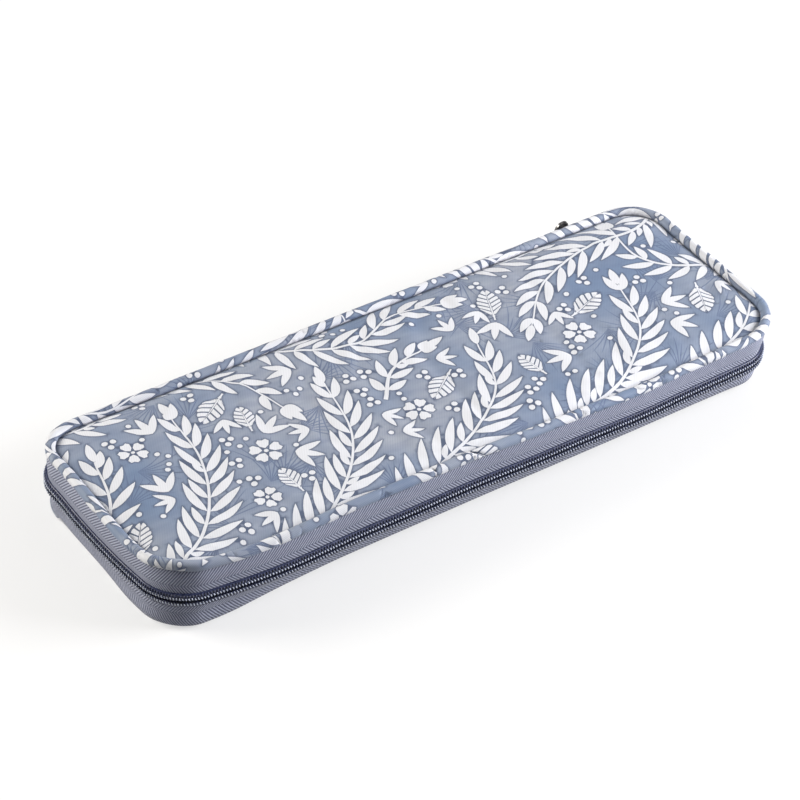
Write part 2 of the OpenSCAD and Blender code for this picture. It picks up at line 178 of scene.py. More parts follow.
def round_off(column):
    """The table read every millimetre round the edge, with its kinks smoothed away."""
    fine = np.interp(np.arange(int(ROUND)), STATIONS[:, 0], column)
    bell = np.exp(-(np.arange(-ROUND_OFF_REACH, ROUND_OFF_REACH + 1) / ROUND_OFF_WIDTH) ** 2)
    return np.convolve(np.pad(fine, ROUND_OFF_REACH, mode="wrap"), bell / bell.sum(), "valid")


SETTLED = np.array([round_off(column) for column in STATIONS[:, 1:].T])


def walk_at(x, y):
    """The distance round the edge that belongs to a point of the plan."""
    beyond_x, beyond_y = np.abs(x) - CORNER_X, np.abs(y) - CORNER_Y
    corner = (beyond_x > 0) & (beyond_y > 0)
    turn = np.arctan2(np.where(corner, beyond_y, 0), np.where(corner, beyond_x, 1))
    on_side = ~corner & (beyond_x > beyond_y)
    quarter = LEGS[3] + CORNER_X + BEND
    along = np.where(on_side, LEGS[2] + CORNER_Y - np.abs(y), np.abs(x))
    along = np.where(corner, LEGS[1] + BEND - turn * CORNER, along)
    along = np.where(y < 0, quarter - along, along)
    return np.where(x < 0, ROUND - along, along)


def settle(points):
    """Moves soft points from the drawn shape to the shape of the used case."""
    moved = np.array(points, float)
    x, y, z = moved[..., 0].copy(), moved[..., 1].copy(), moved[..., 2].copy()
    walk = walk_at(x, y)
    base_in, base_up, zip_in, lid_in, lid_up = (
        np.interp(walk, np.arange(SETTLED.shape[1]), column) for column in SETTLED)
    low = np.clip((ZIP_MID - CHAIN_HALF - z) / (ZIP_MID - CHAIN_HALF - BASE_SEAM), 0, 1)
    high = np.clip((z - ZIP_MID - CHAIN_HALF) / (LID_SEAM - ZIP_MID - CHAIN_HALF), 0, 1)
    wave = np.sin(walk / 27 + 0.6) + 0.6 * np.sin(walk / 11.3)
    ends = ease((walk - ZIP_FROM - 8) / 40) * ease((ZIP_TO - 8 - walk) / 40)
    inward = base_in * low + lid_in * high + zip_in * (1 - low - high) + WANDER * wave * ends * (1 - low)
    fade = 1 - ease((depth_in(x, y) - FADE_FROM) / (FADE_TO - FADE_FROM))
    moved -= outward(walk) * (inward * fade)[..., None]
    moved[..., 2] += (base_up * low + lid_up * high) * fade
    return moved


def still(points):
    return np.array(points, float)


# %% [markdown]
# ## Making a piece
# A few helpers turn points into pieces. `sew` makes the mesh, puts it on its
# body, and hides the CAD nodes it stands for. `sweep` drags a cross-section
# round the outline, as for a tape or a binding.

# %% Making a piece
def sew(name, points, faces, material, body, stands_for=()):
    """A mesh piece from points in millimetres, riding on a CAD body."""
    mesh = bpy.data.meshes.new(name)
    mesh.from_pydata([tuple(p) for p in np.asarray(points, float).reshape(-1, 3) * MM],
                     [], [tuple(int(i) for i in f) for f in faces])
    mesh.materials.append(material)
    mesh.validate()
    piece = bpy.data.objects.new(name, mesh)
    bpy.context.scene.collection.objects.link(piece)
    for face in mesh.polygons:
        face.use_smooth = True
    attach(piece, body)
    if stands_for:
        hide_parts(*stands_for)
    return piece


def set_uv(piece, corner_uv):
    """Gives the piece a map called cloth, in metres, one pair for each face corner."""
    layer = piece.data.uv_layers.new(name="cloth")
    layer.data.foreach_set("uv", (np.asarray(corner_uv, float) * MM).astype(np.float32).ravel())


def set_point_uv(piece, point_uv):
    """The same map from one pair for each point, for a piece that was cut flat."""
    corners = np.zeros(len(piece.data.loops), int)
    piece.data.loops.foreach_get("vertex_index", corners)
    set_uv(piece, np.asarray(point_uv)[corners])


def paint(piece, name, domain, values):
    """Writes one value on each face or point, for a material to read."""
    attribute = piece.data.attributes.new(name, "FLOAT", domain)
    attribute.data.foreach_set("value", np.asarray(values, np.float32))


def grid_faces(rows, columns, wrap_rows=False):
    """Quads over rows of points that close on themselves, and the same quads unwrapped for the map."""
    faces, unwrapped = [], []
    for i in range(rows if wrap_rows else rows - 1):
        for j in range(columns):
            a, b = (i + 1) % rows, (j + 1) % columns
            faces.append((i * columns + j, i * columns + b, a * columns + b, a * columns + j))
            unwrapped.append(((i, j), (i, j + 1), (i + 1, j + 1), (i + 1, j)))
    return faces, unwrapped


def sweep(name, section, walk, material, body, closed=False, shape=settle, stands_for=()):
    """Drags a closed section of (depth, z) points round the case.

    section may be a function of the walk for a section that changes."""
    walk = np.asarray(walk, float)
    parts = [section(w) if callable(section) else section for w in walk]
    grid = np.array([[around(w, d, z) for d, z in part] for w, part in zip(walk, parts)])
    rows, columns = grid.shape[:2]
    faces, unwrapped = grid_faces(rows, columns, closed)
    across = np.array(parts[0] + [parts[0][0]], float)
    across = np.concatenate([[0], np.cumsum(np.hypot(*np.diff(across, axis=0).T))])
    spread = np.append(walk, walk[0] + ROUND)
    uv = [(spread[i], across[j]) for quad in unwrapped for i, j in quad]
    if not closed:
        caps = [range(columns - 1, -1, -1), range((rows - 1) * columns, rows * columns)]
        faces += [tuple(cap) for cap in caps]
        uv += [(spread[0], across[j]) for j in caps[0]]
        uv += [(spread[-1], across[j - (rows - 1) * columns]) for j in caps[1]]
    piece = sew(name, shape(grid), faces, material, body, stands_for)
    set_uv(piece, uv)
    face_out(piece)
    return piece


def face_out(piece, merge_within=0):
    """Turns every face of a closed mesh outwards, and counts edges that don't join two faces."""
    mesh = bmesh.new()
    mesh.from_mesh(piece.data)
    if merge_within:
        bmesh.ops.remove_doubles(mesh, verts=mesh.verts, dist=merge_within * MM)
    bmesh.ops.recalc_face_normals(mesh, faces=mesh.faces)
    unpaired = sum(1 for edge in mesh.edges if len(edge.link_faces) != 2)
    mesh.to_mesh(piece.data)
    mesh.free()
    return unpaired


def steps(start, end, gap):
    return np.linspace(start, end, max(2, int(round((end - start) / gap)) + 1))


def plan_grid(low, high, gap_x, gap_y):
    """The outline of a rectangle and the points inside it."""
    xs, ys = steps(low[0], high[0], gap_x), steps(low[1], high[1], gap_y)
    border = ([(x, low[1]) for x in xs] + [(high[0], y) for y in ys[1:]]
              + [(x, high[1]) for x in xs[-2::-1]] + [(low[0], y) for y in ys[-2:0:-1]])
    return np.array(border), np.array([(x, y) for x in xs[1:-1] for y in ys[1:-1]])


def ring_edges(count, first=0):
    """The edges of a closed outline whose points are numbered from first."""
    return [(first + i, first + (i + 1) % count) for i in range(count)]


def triangulated(points, edges, inside_only):
    """Flat triangles that keep the given edges: their points and their corners."""
    made = delaunay_2d_cdt([Vector(p) for p in points], edges, [], int(inside_only), 1e-4, False)
    return np.array([tuple(p) for p in made[0]]), np.array([tuple(f) for f in made[2]])


# %% [markdown]
# ## Shared effects
# Woven things share three effects: the ribs of a weave, a herringbone and a
# soft mottle. Each is a node group that puts out a mask or a height, and each
# material mixes its own colours with it. The weaves read the map called
# cloth, so the threads follow the piece round its bends.

# %% Tools for node trees
def srgb(red, green, blue):
    """A colour as it is seen on screen, 0 to 255, as the linear colour that shaders take."""
    linear = [c / 255 / 12.92 if c <= 10 else ((c / 255 + 0.055) / 1.055) ** 2.4
              for c in (red, green, blue)]
    return (*linear, 1)


def node(tree, kind, links=(), **settings):
    """Adds a node, sets its sockets or properties by name, and links what feeds it."""
    made = tree.nodes.new(kind)
    for key, value in settings.items():
        if hasattr(made, key):
            setattr(made, key, value)
        else:
            made.inputs[key.replace("_", " ")].default_value = value
    for socket, source in dict(links).items():
        tree.links.new(source, made.inputs[socket])
    return made


def maths(tree, operation, first, second=0.0, third=0.0, clamp=False):
    """One sum on a value that changes over the surface; each term is a number or a socket."""
    made = tree.nodes.new("ShaderNodeMath")
    made.operation, made.use_clamp = operation, clamp
    for socket, value in zip(made.inputs, (first, second, third)):
        if isinstance(value, (int, float)):
            socket.default_value = value
        else:
            tree.links.new(value, socket)
    return made.outputs[0]


def group(name, inputs, outputs):
    """An empty node group with named sockets: a number's default, or None for a vector."""
    tree = bpy.data.node_groups.new(name, "ShaderNodeTree")
    for title, default in inputs.items():
        kind = "NodeSocketVector" if default is None else "NodeSocketFloat"
        socket = tree.interface.new_socket(title, in_out="INPUT", socket_type=kind)
        if default is not None:
            socket.default_value = default
    for title in outputs:
        tree.interface.new_socket(title, in_out="OUTPUT", socket_type="NodeSocketFloat")
    return tree, tree.nodes.new("NodeGroupInput").outputs, tree.nodes.new("NodeGroupOutput").inputs


# %% The weave, the herringbone and the mottle
def rib_weave():
    tree, given, wanted = group("rib weave", {"Map": None, "Pitch": 0.9, "Turn": 0.0}, ["Height"])
    turned = node(tree, "ShaderNodeVectorRotate", {"Vector": given["Map"], "Angle": given["Turn"]})
    parts = node(tree, "ShaderNodeSeparateXYZ", {"Vector": turned.outputs[0]}).outputs
    rate = maths(tree, "DIVIDE", 2 * math.pi / MM, given["Pitch"])
    rib = maths(tree, "SINE", maths(tree, "MULTIPLY", parts[0], rate))
    pick = maths(tree, "SINE", maths(tree, "MULTIPLY", parts[1], maths(tree, "MULTIPLY", rate, 1.7)))
    height = maths(tree, "MULTIPLY_ADD", pick, 0.3, rib)
    tree.links.new(maths(tree, "MULTIPLY_ADD", height, 0.38, 0.5), wanted["Height"])
    return tree


def herringbone():
    """Threads that slant one way beside the seam and the other way near the zip."""
    inputs = {"Map": None, "Pitch": 1.85, "Turn line": 8.6, "Steep": 1.0}
    tree, given, wanted = group("herringbone", inputs, ["Height", "Edge"])
    parts = node(tree, "ShaderNodeSeparateXYZ", {"Vector": given["Map"]}).outputs
    run = maths(tree, "DIVIDE", parts[0], MM)
    across = maths(tree, "DIVIDE", parts[1], MM)
    fold = maths(tree, "ABSOLUTE", maths(tree, "SUBTRACT", across, given["Turn line"]))
    slant = maths(tree, "MULTIPLY_ADD", fold, given["Steep"], run)
    wave = maths(tree, "SINE", maths(tree, "DIVIDE", maths(tree, "MULTIPLY", slant, 2 * math.pi),
                                     given["Pitch"]))
    tree.links.new(maths(tree, "MULTIPLY_ADD", wave, 0.5, 0.5), wanted["Height"])
    edge = maths(tree, "SUBTRACT", 1.0, maths(tree, "MULTIPLY", fold, 1.4), clamp=True)
    tree.links.new(edge, wanted["Edge"])
    return tree


def mottle():
    tree, given, wanted = group("mottle", {"Place": None, "Scale": 30.0, "Detail": 3.0}, ["Mask"])
    cloud = node(tree, "ShaderNodeTexNoise",
                 {"Vector": given["Place"], "Scale": given["Scale"], "Detail": given["Detail"]})
    spread = node(tree, "ShaderNodeMapRange", {"Value": cloud.outputs[0]}, From_Min=0.32, From_Max=0.68)
    tree.links.new(spread.outputs[0], wanted["Mask"])
    return tree


GROUPS = {made.name: made for made in (rib_weave(), herringbone(), mottle())}
print("shared effects:", ", ".join(GROUPS))


# %% [markdown]
# ## Cloth and metal
# Each material is a Principled shader with the groups in front of it. One
# class gives a new material, its map, its place and its bump, so that each
# finish below is only what sets it apart.

# %% Tools for materials
class Finish:
    """A material under construction: its node tree, its shader and common sources."""

    def __init__(self, name, roughness, **constants):
        self.material = bpy.data.materials.new(name)
        self.material.use_nodes = True
        self.tree = self.material.node_tree
        self.tree.nodes.clear()
        self.shader = node(self.tree, "ShaderNodeBsdfPrincipled", Roughness=roughness, **constants)
        node(self.tree, "ShaderNodeOutputMaterial", {"Surface": self.shader.outputs[0]})
        self.map = node(self.tree, "ShaderNodeUVMap", uv_map="cloth").outputs[0]
        self.place = node(self.tree, "ShaderNodeTexCoord").outputs["Object"]

    def effect(self, name, links, **values):
        made = self.tree.nodes.new("ShaderNodeGroup")
        made.node_tree = GROUPS[name]
        for socket, source in links.items():
            self.tree.links.new(source, made.inputs[socket])
        for key, value in values.items():
            made.inputs[key.replace("_", " ")].default_value = value
        return made.outputs

    def cloud(self, scale, detail, place=None):
        """A soft cloudy mask over the piece."""
        return self.effect("mottle", {"Place": place or self.place}, Scale=scale, Detail=detail)["Mask"]

    def ribs(self, **values):
        """The height of a plain weave on the piece's own map."""
        return self.effect("rib weave", {"Map": self.map}, **values)["Height"]

    def times(self, first, second):
        return maths(self.tree, "MULTIPLY", first, second)

    def mix(self, mask, first, second):
        """Blends two colours, each a colour or a socket, by a mask that changes over the surface."""
        made = self.tree.nodes.new("ShaderNodeMix")
        made.data_type = "RGBA"
        sockets = [made.inputs[i] for i in (0, 6, 7)]
        for socket, value in zip(sockets, (mask, first, second)):
            if isinstance(value, (tuple, float, int)):
                socket.default_value = value
            else:
                self.tree.links.new(value, socket)
        return made.outputs[2]

    def painted(self, name):
        """A value that the mesh carries, such as how far a print's outline reaches."""
        return node(self.tree, "ShaderNodeAttribute", attribute_name=name).outputs["Fac"]

    def colour(self, socket):
        self.tree.links.new(socket, self.shader.inputs["Base Color"])

    def rough(self, mask, low, high):
        made = node(self.tree, "ShaderNodeMapRange", {"Value": mask}, To_Min=low, To_Max=high)
        self.tree.links.new(made.outputs[0], self.shader.inputs["Roughness"])

    def bump(self, height, depth_mm, strength=1.0):
        made = node(self.tree, "ShaderNodeBump", {"Height": height},
                    Strength=strength, Distance=depth_mm * MM)
        self.tree.links.new(made.outputs[0], self.shader.inputs["Normal"])


# %% Printed cloth
WHITE_INK, PALE_GROUND, DEEP_GROUND = srgb(225, 226, 232), srgb(167, 171, 182), srgb(113, 133, 163)
TONAL_INK, OUTLINE_INK = srgb(92, 108, 140), srgb(78, 90, 116)
BETWEEN_THREADS, SEAM_SHADE = srgb(60, 68, 92), srgb(46, 56, 86)


def printed_cloth():
    made = Finish("printed cloth", 0.62, Sheen_Weight=0.12, Sheen_Roughness=0.5)
    cloud = made.cloud(15.0, 3.0)
    streak_place = node(made.tree, "ShaderNodeMapping", {"Vector": made.place},
                        Rotation=(0, 0, 0.35), Scale=(1, 3.2, 1)).outputs[0]
    streak = made.cloud(45.0, 2.0, streak_place)
    weave = made.ribs(Pitch=0.85, Turn=0.61)
    ground = made.mix(cloud, PALE_GROUND, DEEP_GROUND)
    shaded = made.mix(made.times(streak, 0.35), ground, TONAL_INK)
    ink = made.painted("ink")
    tonal = made.times(maths(made.tree, "GREATER_THAN", ink, 0.25), 0.8)
    toned = made.mix(tonal, shaded, TONAL_INK)
    halo = maths(made.tree, "POWER", made.painted("halo"), 1.4)
    lined = made.mix(halo, toned, OUTLINE_INK)
    pale = made.mix(maths(made.tree, "GREATER_THAN", ink, 0.75), lined, WHITE_INK)
    threads = made.times(maths(made.tree, "SUBTRACT", 1.0, weave), 0.16)
    woven = made.mix(threads, pale, BETWEEN_THREADS)
    made.colour(made.mix(made.times(made.painted("seam"), 0.75), woven, SEAM_SHADE))
    made.rough(weave, 0.72, 0.52)
    made.bump(weave, 0.10, 0.5)
    return made.material


PRINTED = printed_cloth()


# %% Zip tape, coil and stitches
def zip_tape():
    made = Finish("zip tape", 0.75, Sheen_Weight=0.15, Sheen_Roughness=0.4)
    bone = made.effect("herringbone", {"Map": made.map})
    cloud = made.cloud(420.0, 2.0)
    thread = made.mix(bone["Height"], srgb(78, 83, 105), srgb(176, 180, 199))
    flecked = made.mix(made.times(cloud, 0.18), thread, srgb(70, 78, 104))
    made.colour(made.mix(made.times(bone["Edge"], 0.35), flecked, srgb(84, 92, 118)))
    made.bump(bone["Height"], 0.22, 0.7)
    return made.material


def plain_thread(name, dark, pale, roughness, pitch=0.7, turn=0.0, depth=0.1):
    """A plain woven cloth of one colour: pale on the ribs, dark between them."""
    made = Finish(name, roughness, Sheen_Weight=0.1, Sheen_Roughness=0.5)
    weave = made.ribs(Pitch=pitch, Turn=turn)
    cloud = made.cloud(38.0, 3.0)
    made.colour(made.mix(made.times(cloud, 0.2), made.mix(weave, dark, pale), dark))
    made.bump(weave, depth, 0.6)
    return made.material


def coil_nylon():
    made = Finish("coil nylon", 0.32, Specular_IOR_Level=0.5)
    cloud = made.cloud(900.0, 1.0)
    made.colour(made.mix(cloud, srgb(34, 40, 70), srgb(60, 68, 102)))
    made.rough(cloud, 0.28, 0.42)
    return made.material


def stitch_thread():
    made = Finish("stitch thread", 0.5, Sheen_Weight=0.2)
    twist = node(made.tree, "ShaderNodeTexWave", {"Vector": made.place}, Scale=900.0, Distortion=1.0)
    made.colour(made.mix(twist.outputs["Fac"], srgb(168, 178, 202), srgb(228, 233, 246)))
    return made.material


def gunmetal():
    """Dark plated zinc: cloudy plating, fine polishing scratches and rubbed patches."""
    made = Finish("gunmetal", 0.3, Metallic=1.0)
    cloud = made.cloud(420.0, 4.0)
    stretched = node(made.tree, "ShaderNodeMapping", {"Vector": made.place},
                     Scale=(1, 1, 14)).outputs[0]
    scratch = made.cloud(500.0, 2.0, stretched)
    rubbed = made.times(maths(made.tree, "POWER", cloud, 3.0), 0.5)
    plated = made.mix(cloud, srgb(96, 95, 97), srgb(134, 132, 131))
    made.colour(made.mix(rubbed, plated, srgb(178, 175, 170)))
    made.rough(scratch, 0.24, 0.44)
    made.bump(scratch, 0.02, 0.4)
    return made.material


def grey_board():
    made = Finish("grey board", 0.85)
    cloud = made.cloud(160.0, 5.0)
    made.colour(made.mix(cloud, srgb(196, 195, 190), srgb(214, 213, 208)))
    made.bump(cloud, 0.05, 0.4)
    return made.material


TAPE, COIL, STITCH, METAL = zip_tape(), coil_nylon(), stitch_thread(), gunmetal()
LINING = plain_thread("lining", srgb(86, 97, 124), srgb(122, 134, 164), 0.8, 0.6)
BINDING = plain_thread("binding", srgb(74, 84, 112), srgb(116, 127, 158), 0.8, 1.1, math.pi / 2,
                       0.16)
ELASTIC = plain_thread("elastic", srgb(36, 42, 60), srgb(64, 72, 96), 0.85, 1.3, 0.0, 0.2)


# %% [markdown]
# ## The print
# The cloth is printed with pale sprays over a mottled slate ground. This one
# is a plain design of its own: sprays of pointed leaves, broad ribbed leaves,
# berries and small open blossoms. Every motif is an outline in millimetres on
# the flat cloth. A coarse map of the cloth remembers what is taken, so leaves
# shrink or stay away where they would run into each other.

# %% Outlines of the motifs
def placed(outline, turn, at):
    c, s = math.cos(turn), math.sin(turn)
    return np.asarray(outline) @ np.array([[c, s], [-s, c]]) + np.asarray(at)


def leaf(length, width, bow, count=9):
    """A pointed leaf from the origin along x; bow curves it to one side."""
    t = np.linspace(0, 1, count)
    half = width / 2 * np.sin(math.pi * t ** 0.85) ** 0.8
    half[0] = half[-1] = 0
    spine = np.stack([length * t, bow * length * t * t], 1)
    upper, lower = spine.copy(), spine.copy()
    upper[:, 1] += half
    lower[:, 1] -= half
    return np.vstack([upper, lower[-2:0:-1]])


def ring(x, y, radius, count=12):
    turn = np.linspace(0, 2 * math.pi, count, endpoint=False)
    return np.stack([x + radius * np.cos(turn), y + radius * np.sin(turn)], 1)


def ribbed_leaf(length, width, ribs):
    """A broad leaf cut into slanting ribs on both sides of a thin midrib."""
    def at(s, t):
        half = width / 2 * max(0.0, math.sin(math.pi * min(1.0, max(0.0, s)) ** 0.8)) ** 0.7
        return length * (0.9 * s + 0.22 * abs(t) * (1 - 0.6 * s)), t * half
    cuts = []
    for side in (1, -1):
        for i in range(ribs):
            low, high = (i + 0.12) / ribs, (i + 0.86) / ribs
            out = [at(low, side * t) for t in (0.1, 0.4, 0.7, 0.97)]
            home = [at(high, side * t) for t in (0.97, 0.7, 0.4, 0.1)]
            cuts.append(np.array(out + [at((low + high) / 2 + 0.01, side * 1.04)] + home))
    midrib = [(0, 0.5), (0.5 * length, 0.35), (length, 0), (0.5 * length, -0.35), (0, -0.5)]
    return cuts + [np.array(midrib)]


def blossom(radius):
    petal = np.array([(0.22, 0), (0.42, 0.26), (0.78, 0.38), (0.98, 0.22), (0.9, 0),
                      (0.98, -0.22), (0.78, -0.38), (0.42, -0.26)]) * radius
    return [placed(petal, k * 2 * math.pi / 5, (0, 0)) for k in range(5)] + [ring(0, 0, 0.14 * radius, 8)]


def smooth_path(points, gap=4.0):
    """A curve through the given points, sampled every few millimetres."""
    p = np.array(points, float)
    p = np.vstack([2 * p[0] - p[1], p, 2 * p[-1] - p[-2]])
    found = []
    for k in range(1, len(p) - 2):
        for t in np.linspace(0, 1, max(2, int(np.linalg.norm(p[k + 1] - p[k]) / gap)), endpoint=False):
            found.append(0.5 * (2 * p[k] + (p[k + 1] - p[k - 1]) * t
                                + (2 * p[k - 1] - 5 * p[k] + 4 * p[k + 1] - p[k + 2]) * t * t
                                + (3 * p[k] - p[k - 1] - 3 * p[k + 1] + p[k + 2]) * t ** 3))
    return np.array(found + [p[-2]])


def stalk(path, first, last):
    run = np.gradient(path, axis=0)
    side = np.stack([-run[:, 1], run[:, 0]], 1) / np.linalg.norm(run, axis=1)[:, None]
    half = np.linspace(first, last, len(path))[:, None] / 2
    return np.vstack([path + side * half, (path - side * half)[::-1]])


# %% The cloth and what is printed on it
CLOTH_W, CLOTH_H = 420, 180


def inside(points, outline):
    """Which points lie inside a closed outline, by counting the edges that each one crosses."""
    x, y = points[:, 0][:, None], points[:, 1][:, None]
    x1, y1 = outline[:, 0], outline[:, 1]
    x2, y2 = np.roll(x1, -1), np.roll(y1, -1)
    spans = (y1 > y) != (y2 > y)
    rise_of = np.where(y2 == y1, 1e-9, y2 - y1)
    return (spans & (x < (x2 - x1) * (y - y1) / rise_of + x1)).sum(1) % 2 == 1


class Cloth:
    """The flat printed cloth: its pale and tonal outlines, and a map of what is taken."""

    def __init__(self):
        self.pale, self.tonal = [], []
        self.taken = np.zeros((CLOTH_W, CLOTH_H), bool)

    def cells(self, outline):
        low = np.floor(outline.min(0) + (CLOTH_W / 2, CLOTH_H / 2)).astype(int) - 1
        high = np.ceil(outline.max(0) + (CLOTH_W / 2, CLOTH_H / 2)).astype(int) + 1
        low, high = np.maximum(low, 0), np.minimum(high, (CLOTH_W, CLOTH_H))
        if (high <= low).any():
            return np.zeros((0, 2), int)
        spots = np.stack(np.meshgrid(*(np.arange(a, b) for a, b in zip(low, high)), indexing="ij"), -1)
        spots = spots.reshape(-1, 2)
        return spots[inside(spots + 0.5 - (CLOTH_W / 2, CLOTH_H / 2), outline)]

    def is_free(self, outlines, gap):
        for outline in outlines:
            spots = self.cells(outline)
            for dx in range(-gap, gap + 1):
                for dy in range(-gap, gap + 1):
                    x = np.clip(spots[:, 0] + dx, 0, CLOTH_W - 1)
                    y = np.clip(spots[:, 1] + dy, 0, CLOTH_H - 1)
                    if self.taken[x, y].any():
                        return False
        return True

    def print_pale(self, outlines, marked=None):
        self.pale += outlines
        for outline in marked or outlines:
            spots = self.cells(outline)
            self.taken[spots[:, 0], spots[:, 1]] = True

    def try_pale(self, outlines, gap=1):
        free = self.is_free(outlines, gap)
        if free:
            self.print_pale(outlines)
        return free


# Each spray: how long its leaves grow, and the way its stalk goes
SPRAYS = [
    (24, [(-212, -70), (-178, -58), (-150, -34), (-132, 2), (-128, 40)]),
    (26, [(-160, -92), (-120, -74), (-82, -52), (-56, -20), (-46, 22)]),
    (20, [(-200, 66), (-168, 58), (-142, 72), (-110, 66), (-84, 44), (-74, 14)]),
    (26, [(-76, -92), (-40, -66), (-4, -52), (28, -28), (40, 6)]),
    (22, [(-70, 92), (-48, 56), (-14, 40), (14, 50), (44, 44)]),
    (26, [(16, -92), (52, -66), (92, -54), (122, -28), (134, 8)]),
    (24, [(206, 70), (176, 44), (140, 44), (100, 30), (74, 4)]),
    (20, [(112, -88), (142, -66), (176, -52), (204, -24)]),
    (18, [(204, -6), (176, 2), (158, 22), (160, 52)]),
    (20, [(-206, -22), (-186, 0), (-178, 30)]),
    (18, [(60, 92), (78, 66), (112, 60), (146, 74)]),
    (15, [(-26, -6), (-10, 12), (14, 18)]),
]
# Each blossom: its place and radius; each ribbed leaf: its place, length, width and heading
BLOSSOMS = [(-100, -8, 9), (-16, -22, 8.5), (92, -14, 9), (-158, 26, 8), (58, 64, 8), (186, -76, 8),
            (-12, 74, 8), (-118, -38, 7.5)]
RIBBED = [(-20, 84, 26, 14, 3.6), (104, -72, 30, 15, 0.4), (-196, -40, 26, 13, 0.9),
          (150, -20, 28, 14, 0.8), (-112, 92, 28, 13, -1.2), (60, 18, 26, 13, 1.2)]


FIRST_LEAF, LEAF_GAP, LEAF_WIDTH, LEAF_BOW = 7.0, 4.9, 5.0, 0.22
LEAF_SHARES = (1, 0.86, 0.72, 0.58, 0.46, 0.34)
STALK_FOOT, STALK_TIP = 2.4, 0.8
GAP_SIZES, GAP_TRIES, GRASS_TUFTS = (14, 11, 8.5, 6.5, 4.6, 3.2), 500, 60


def spray_leaves(cloth, size, path):
    """Pairs of leaves up a stalk, each as long as the room beside it allows."""
    run = np.gradient(path, axis=0)
    reach = np.concatenate([[0], np.cumsum(np.linalg.norm(np.diff(path, axis=0), axis=1))])
    for walked in np.arange(FIRST_LEAF, reach[-1] - 1, LEAF_GAP):
        t = walked / reach[-1]
        foot = np.array([np.interp(walked, reach, path[:, k]) for k in (0, 1)])
        i = min(len(path) - 1, int(np.searchsorted(reach, walked)))
        heading = math.atan2(run[i][1], run[i][0])
        longest = size * (0.45 + 0.55 * math.sin(math.pi * min(1, 0.85 * t + 0.12)))
        for side in (1, -1):
            turn = heading + side * math.radians(62 - 30 * t)
            start = foot + 0.9 * np.array([math.cos(turn), math.sin(turn)])
            for share in LEAF_SHARES:
                shape = leaf(longest * share, LEAF_WIDTH * share ** 0.35, -side * LEAF_BOW)
                blade = placed(shape, turn, start)
                tip = blade[np.hypot(*(blade - start).T) > 0.22 * longest * share + 1.5]
                if len(tip) > 2 and cloth.is_free([tip], 1):
                    cloth.print_pale([blade], [tip])
                    break
    cloth.print_pale([placed(leaf(14, 5, 0), math.atan2(*run[-1][::-1]), path[-1])])


def filler(r, x, y, turn):
    """A motif for a gap of radius r: a ribbed leaf, a sprig, three berries or one."""
    foot = (x - 0.9 * r * math.cos(turn), y - 0.9 * r * math.sin(turn))
    if r >= 11:
        return [placed(q, turn, foot) for q in ribbed_leaf(1.9 * r, 0.95 * r, 6)]
    if r >= 6:
        return [placed(leaf(1.8 * r, 0.5 * r, 0.1 * k), turn + 0.6 * k, foot) for k in (-1, 0, 1)]
    if r >= 4.5:
        return [ring(x + 2.6 * math.cos(turn + 2.1 * k), y + 2.6 * math.sin(turn + 2.1 * k), 1.7, 10)
                for k in range(3)]
    return [ring(x, y, 1.5, 10)]


def anywhere(chance):
    """A place on the cloth and a heading, drawn by chance."""
    return chance.uniform(-200, 200), chance.uniform(-80, 80), chance.uniform(0, 6.28)


def draw_print():
    cloth, chance = Cloth(), random.Random(11)
    paths = [(size, smooth_path(points)) for size, points in SPRAYS]
    for _, path in paths:
        cloth.print_pale([stalk(path, STALK_FOOT, STALK_TIP)])
    for x, y, radius in BLOSSOMS:
        cloth.try_pale([placed(q, 0.1 * x, (x, y)) for q in blossom(radius)])
    for size, path in paths:
        spray_leaves(cloth, size, path)
    for x, y, length, width, turn in RIBBED:
        cloth.try_pale([placed(q, turn, (x, y)) for q in ribbed_leaf(length, width, 7)])
    span = np.stack(np.meshgrid(np.arange(CLOTH_W), np.arange(CLOTH_H), indexing="ij"), -1)
    for r in GAP_SIZES:
        for _ in range(GAP_TRIES):
            x, y, turn = anywhere(chance)
            near = np.hypot(*(span + 0.5 - (x + CLOTH_W / 2, y + CLOTH_H / 2)).transpose(2, 0, 1)) < r
            if not (cloth.taken & near).any():
                cloth.try_pale(filler(r, x, y, turn), 0)
    for _ in range(GRASS_TUFTS):
        x, y, turn = anywhere(chance)
        for k in range(-4, 5):
            grass = leaf(chance.uniform(16, 30), 0.75, 0.05 * k, 7)
            cloth.tonal.append(placed(grass, turn + 0.17 * k, (x, y)))
    return cloth


CLOTH = draw_print()
print("pale outlines:", len(CLOTH.pale), " tonal outlines:", len(CLOTH.tonal),
      " pale share:", round(float(CLOTH.taken.mean()), 2))

# %% [markdown]
# ## Cutting a panel out of the print
# A panel's mesh is triangulated along every outline that crosses it, so the
# print's edges are real edges and stay sharp from any distance. Two values
# ride on the mesh: `ink`, one for each face, and `halo`, which is 1 at the rim
# of a pale shape and fades to 0 a little way off, for the soft dark outline.

# %% Cutting a panel out of the print
HALO, RIM_GAP, KEEP_OFF = 1.5, 0.5, 0.8


def clipped(outline, low, high):
    """The part of an outline inside a rectangle, one side at a time."""
    for axis in (0, 1):
        for limit, sign in ((low[axis], 1), (high[axis], -1)):
            kept = []
            for a, b in zip(outline, np.roll(outline, -1, 0)):
                da, db = sign * (a[axis] - limit), sign * (b[axis] - limit)
                if da >= 0:
                    kept.append(a)
                if (da >= 0) != (db >= 0):
                    kept.append(a + (b - a) * da / (da - db))
            outline = np.array(kept)
            if len(outline) < 3:
                return None
    return outline


def rim_points(outline, gap):
    """Points along an outline, this far apart or a little more."""
    found = []
    for a, b in zip(outline, np.roll(outline, -1, 0)):
        count = max(1, int(np.linalg.norm(b - a) / gap))
        found.append(a + (b - a) * np.arange(count)[:, None] / count)
    return np.vstack(found)


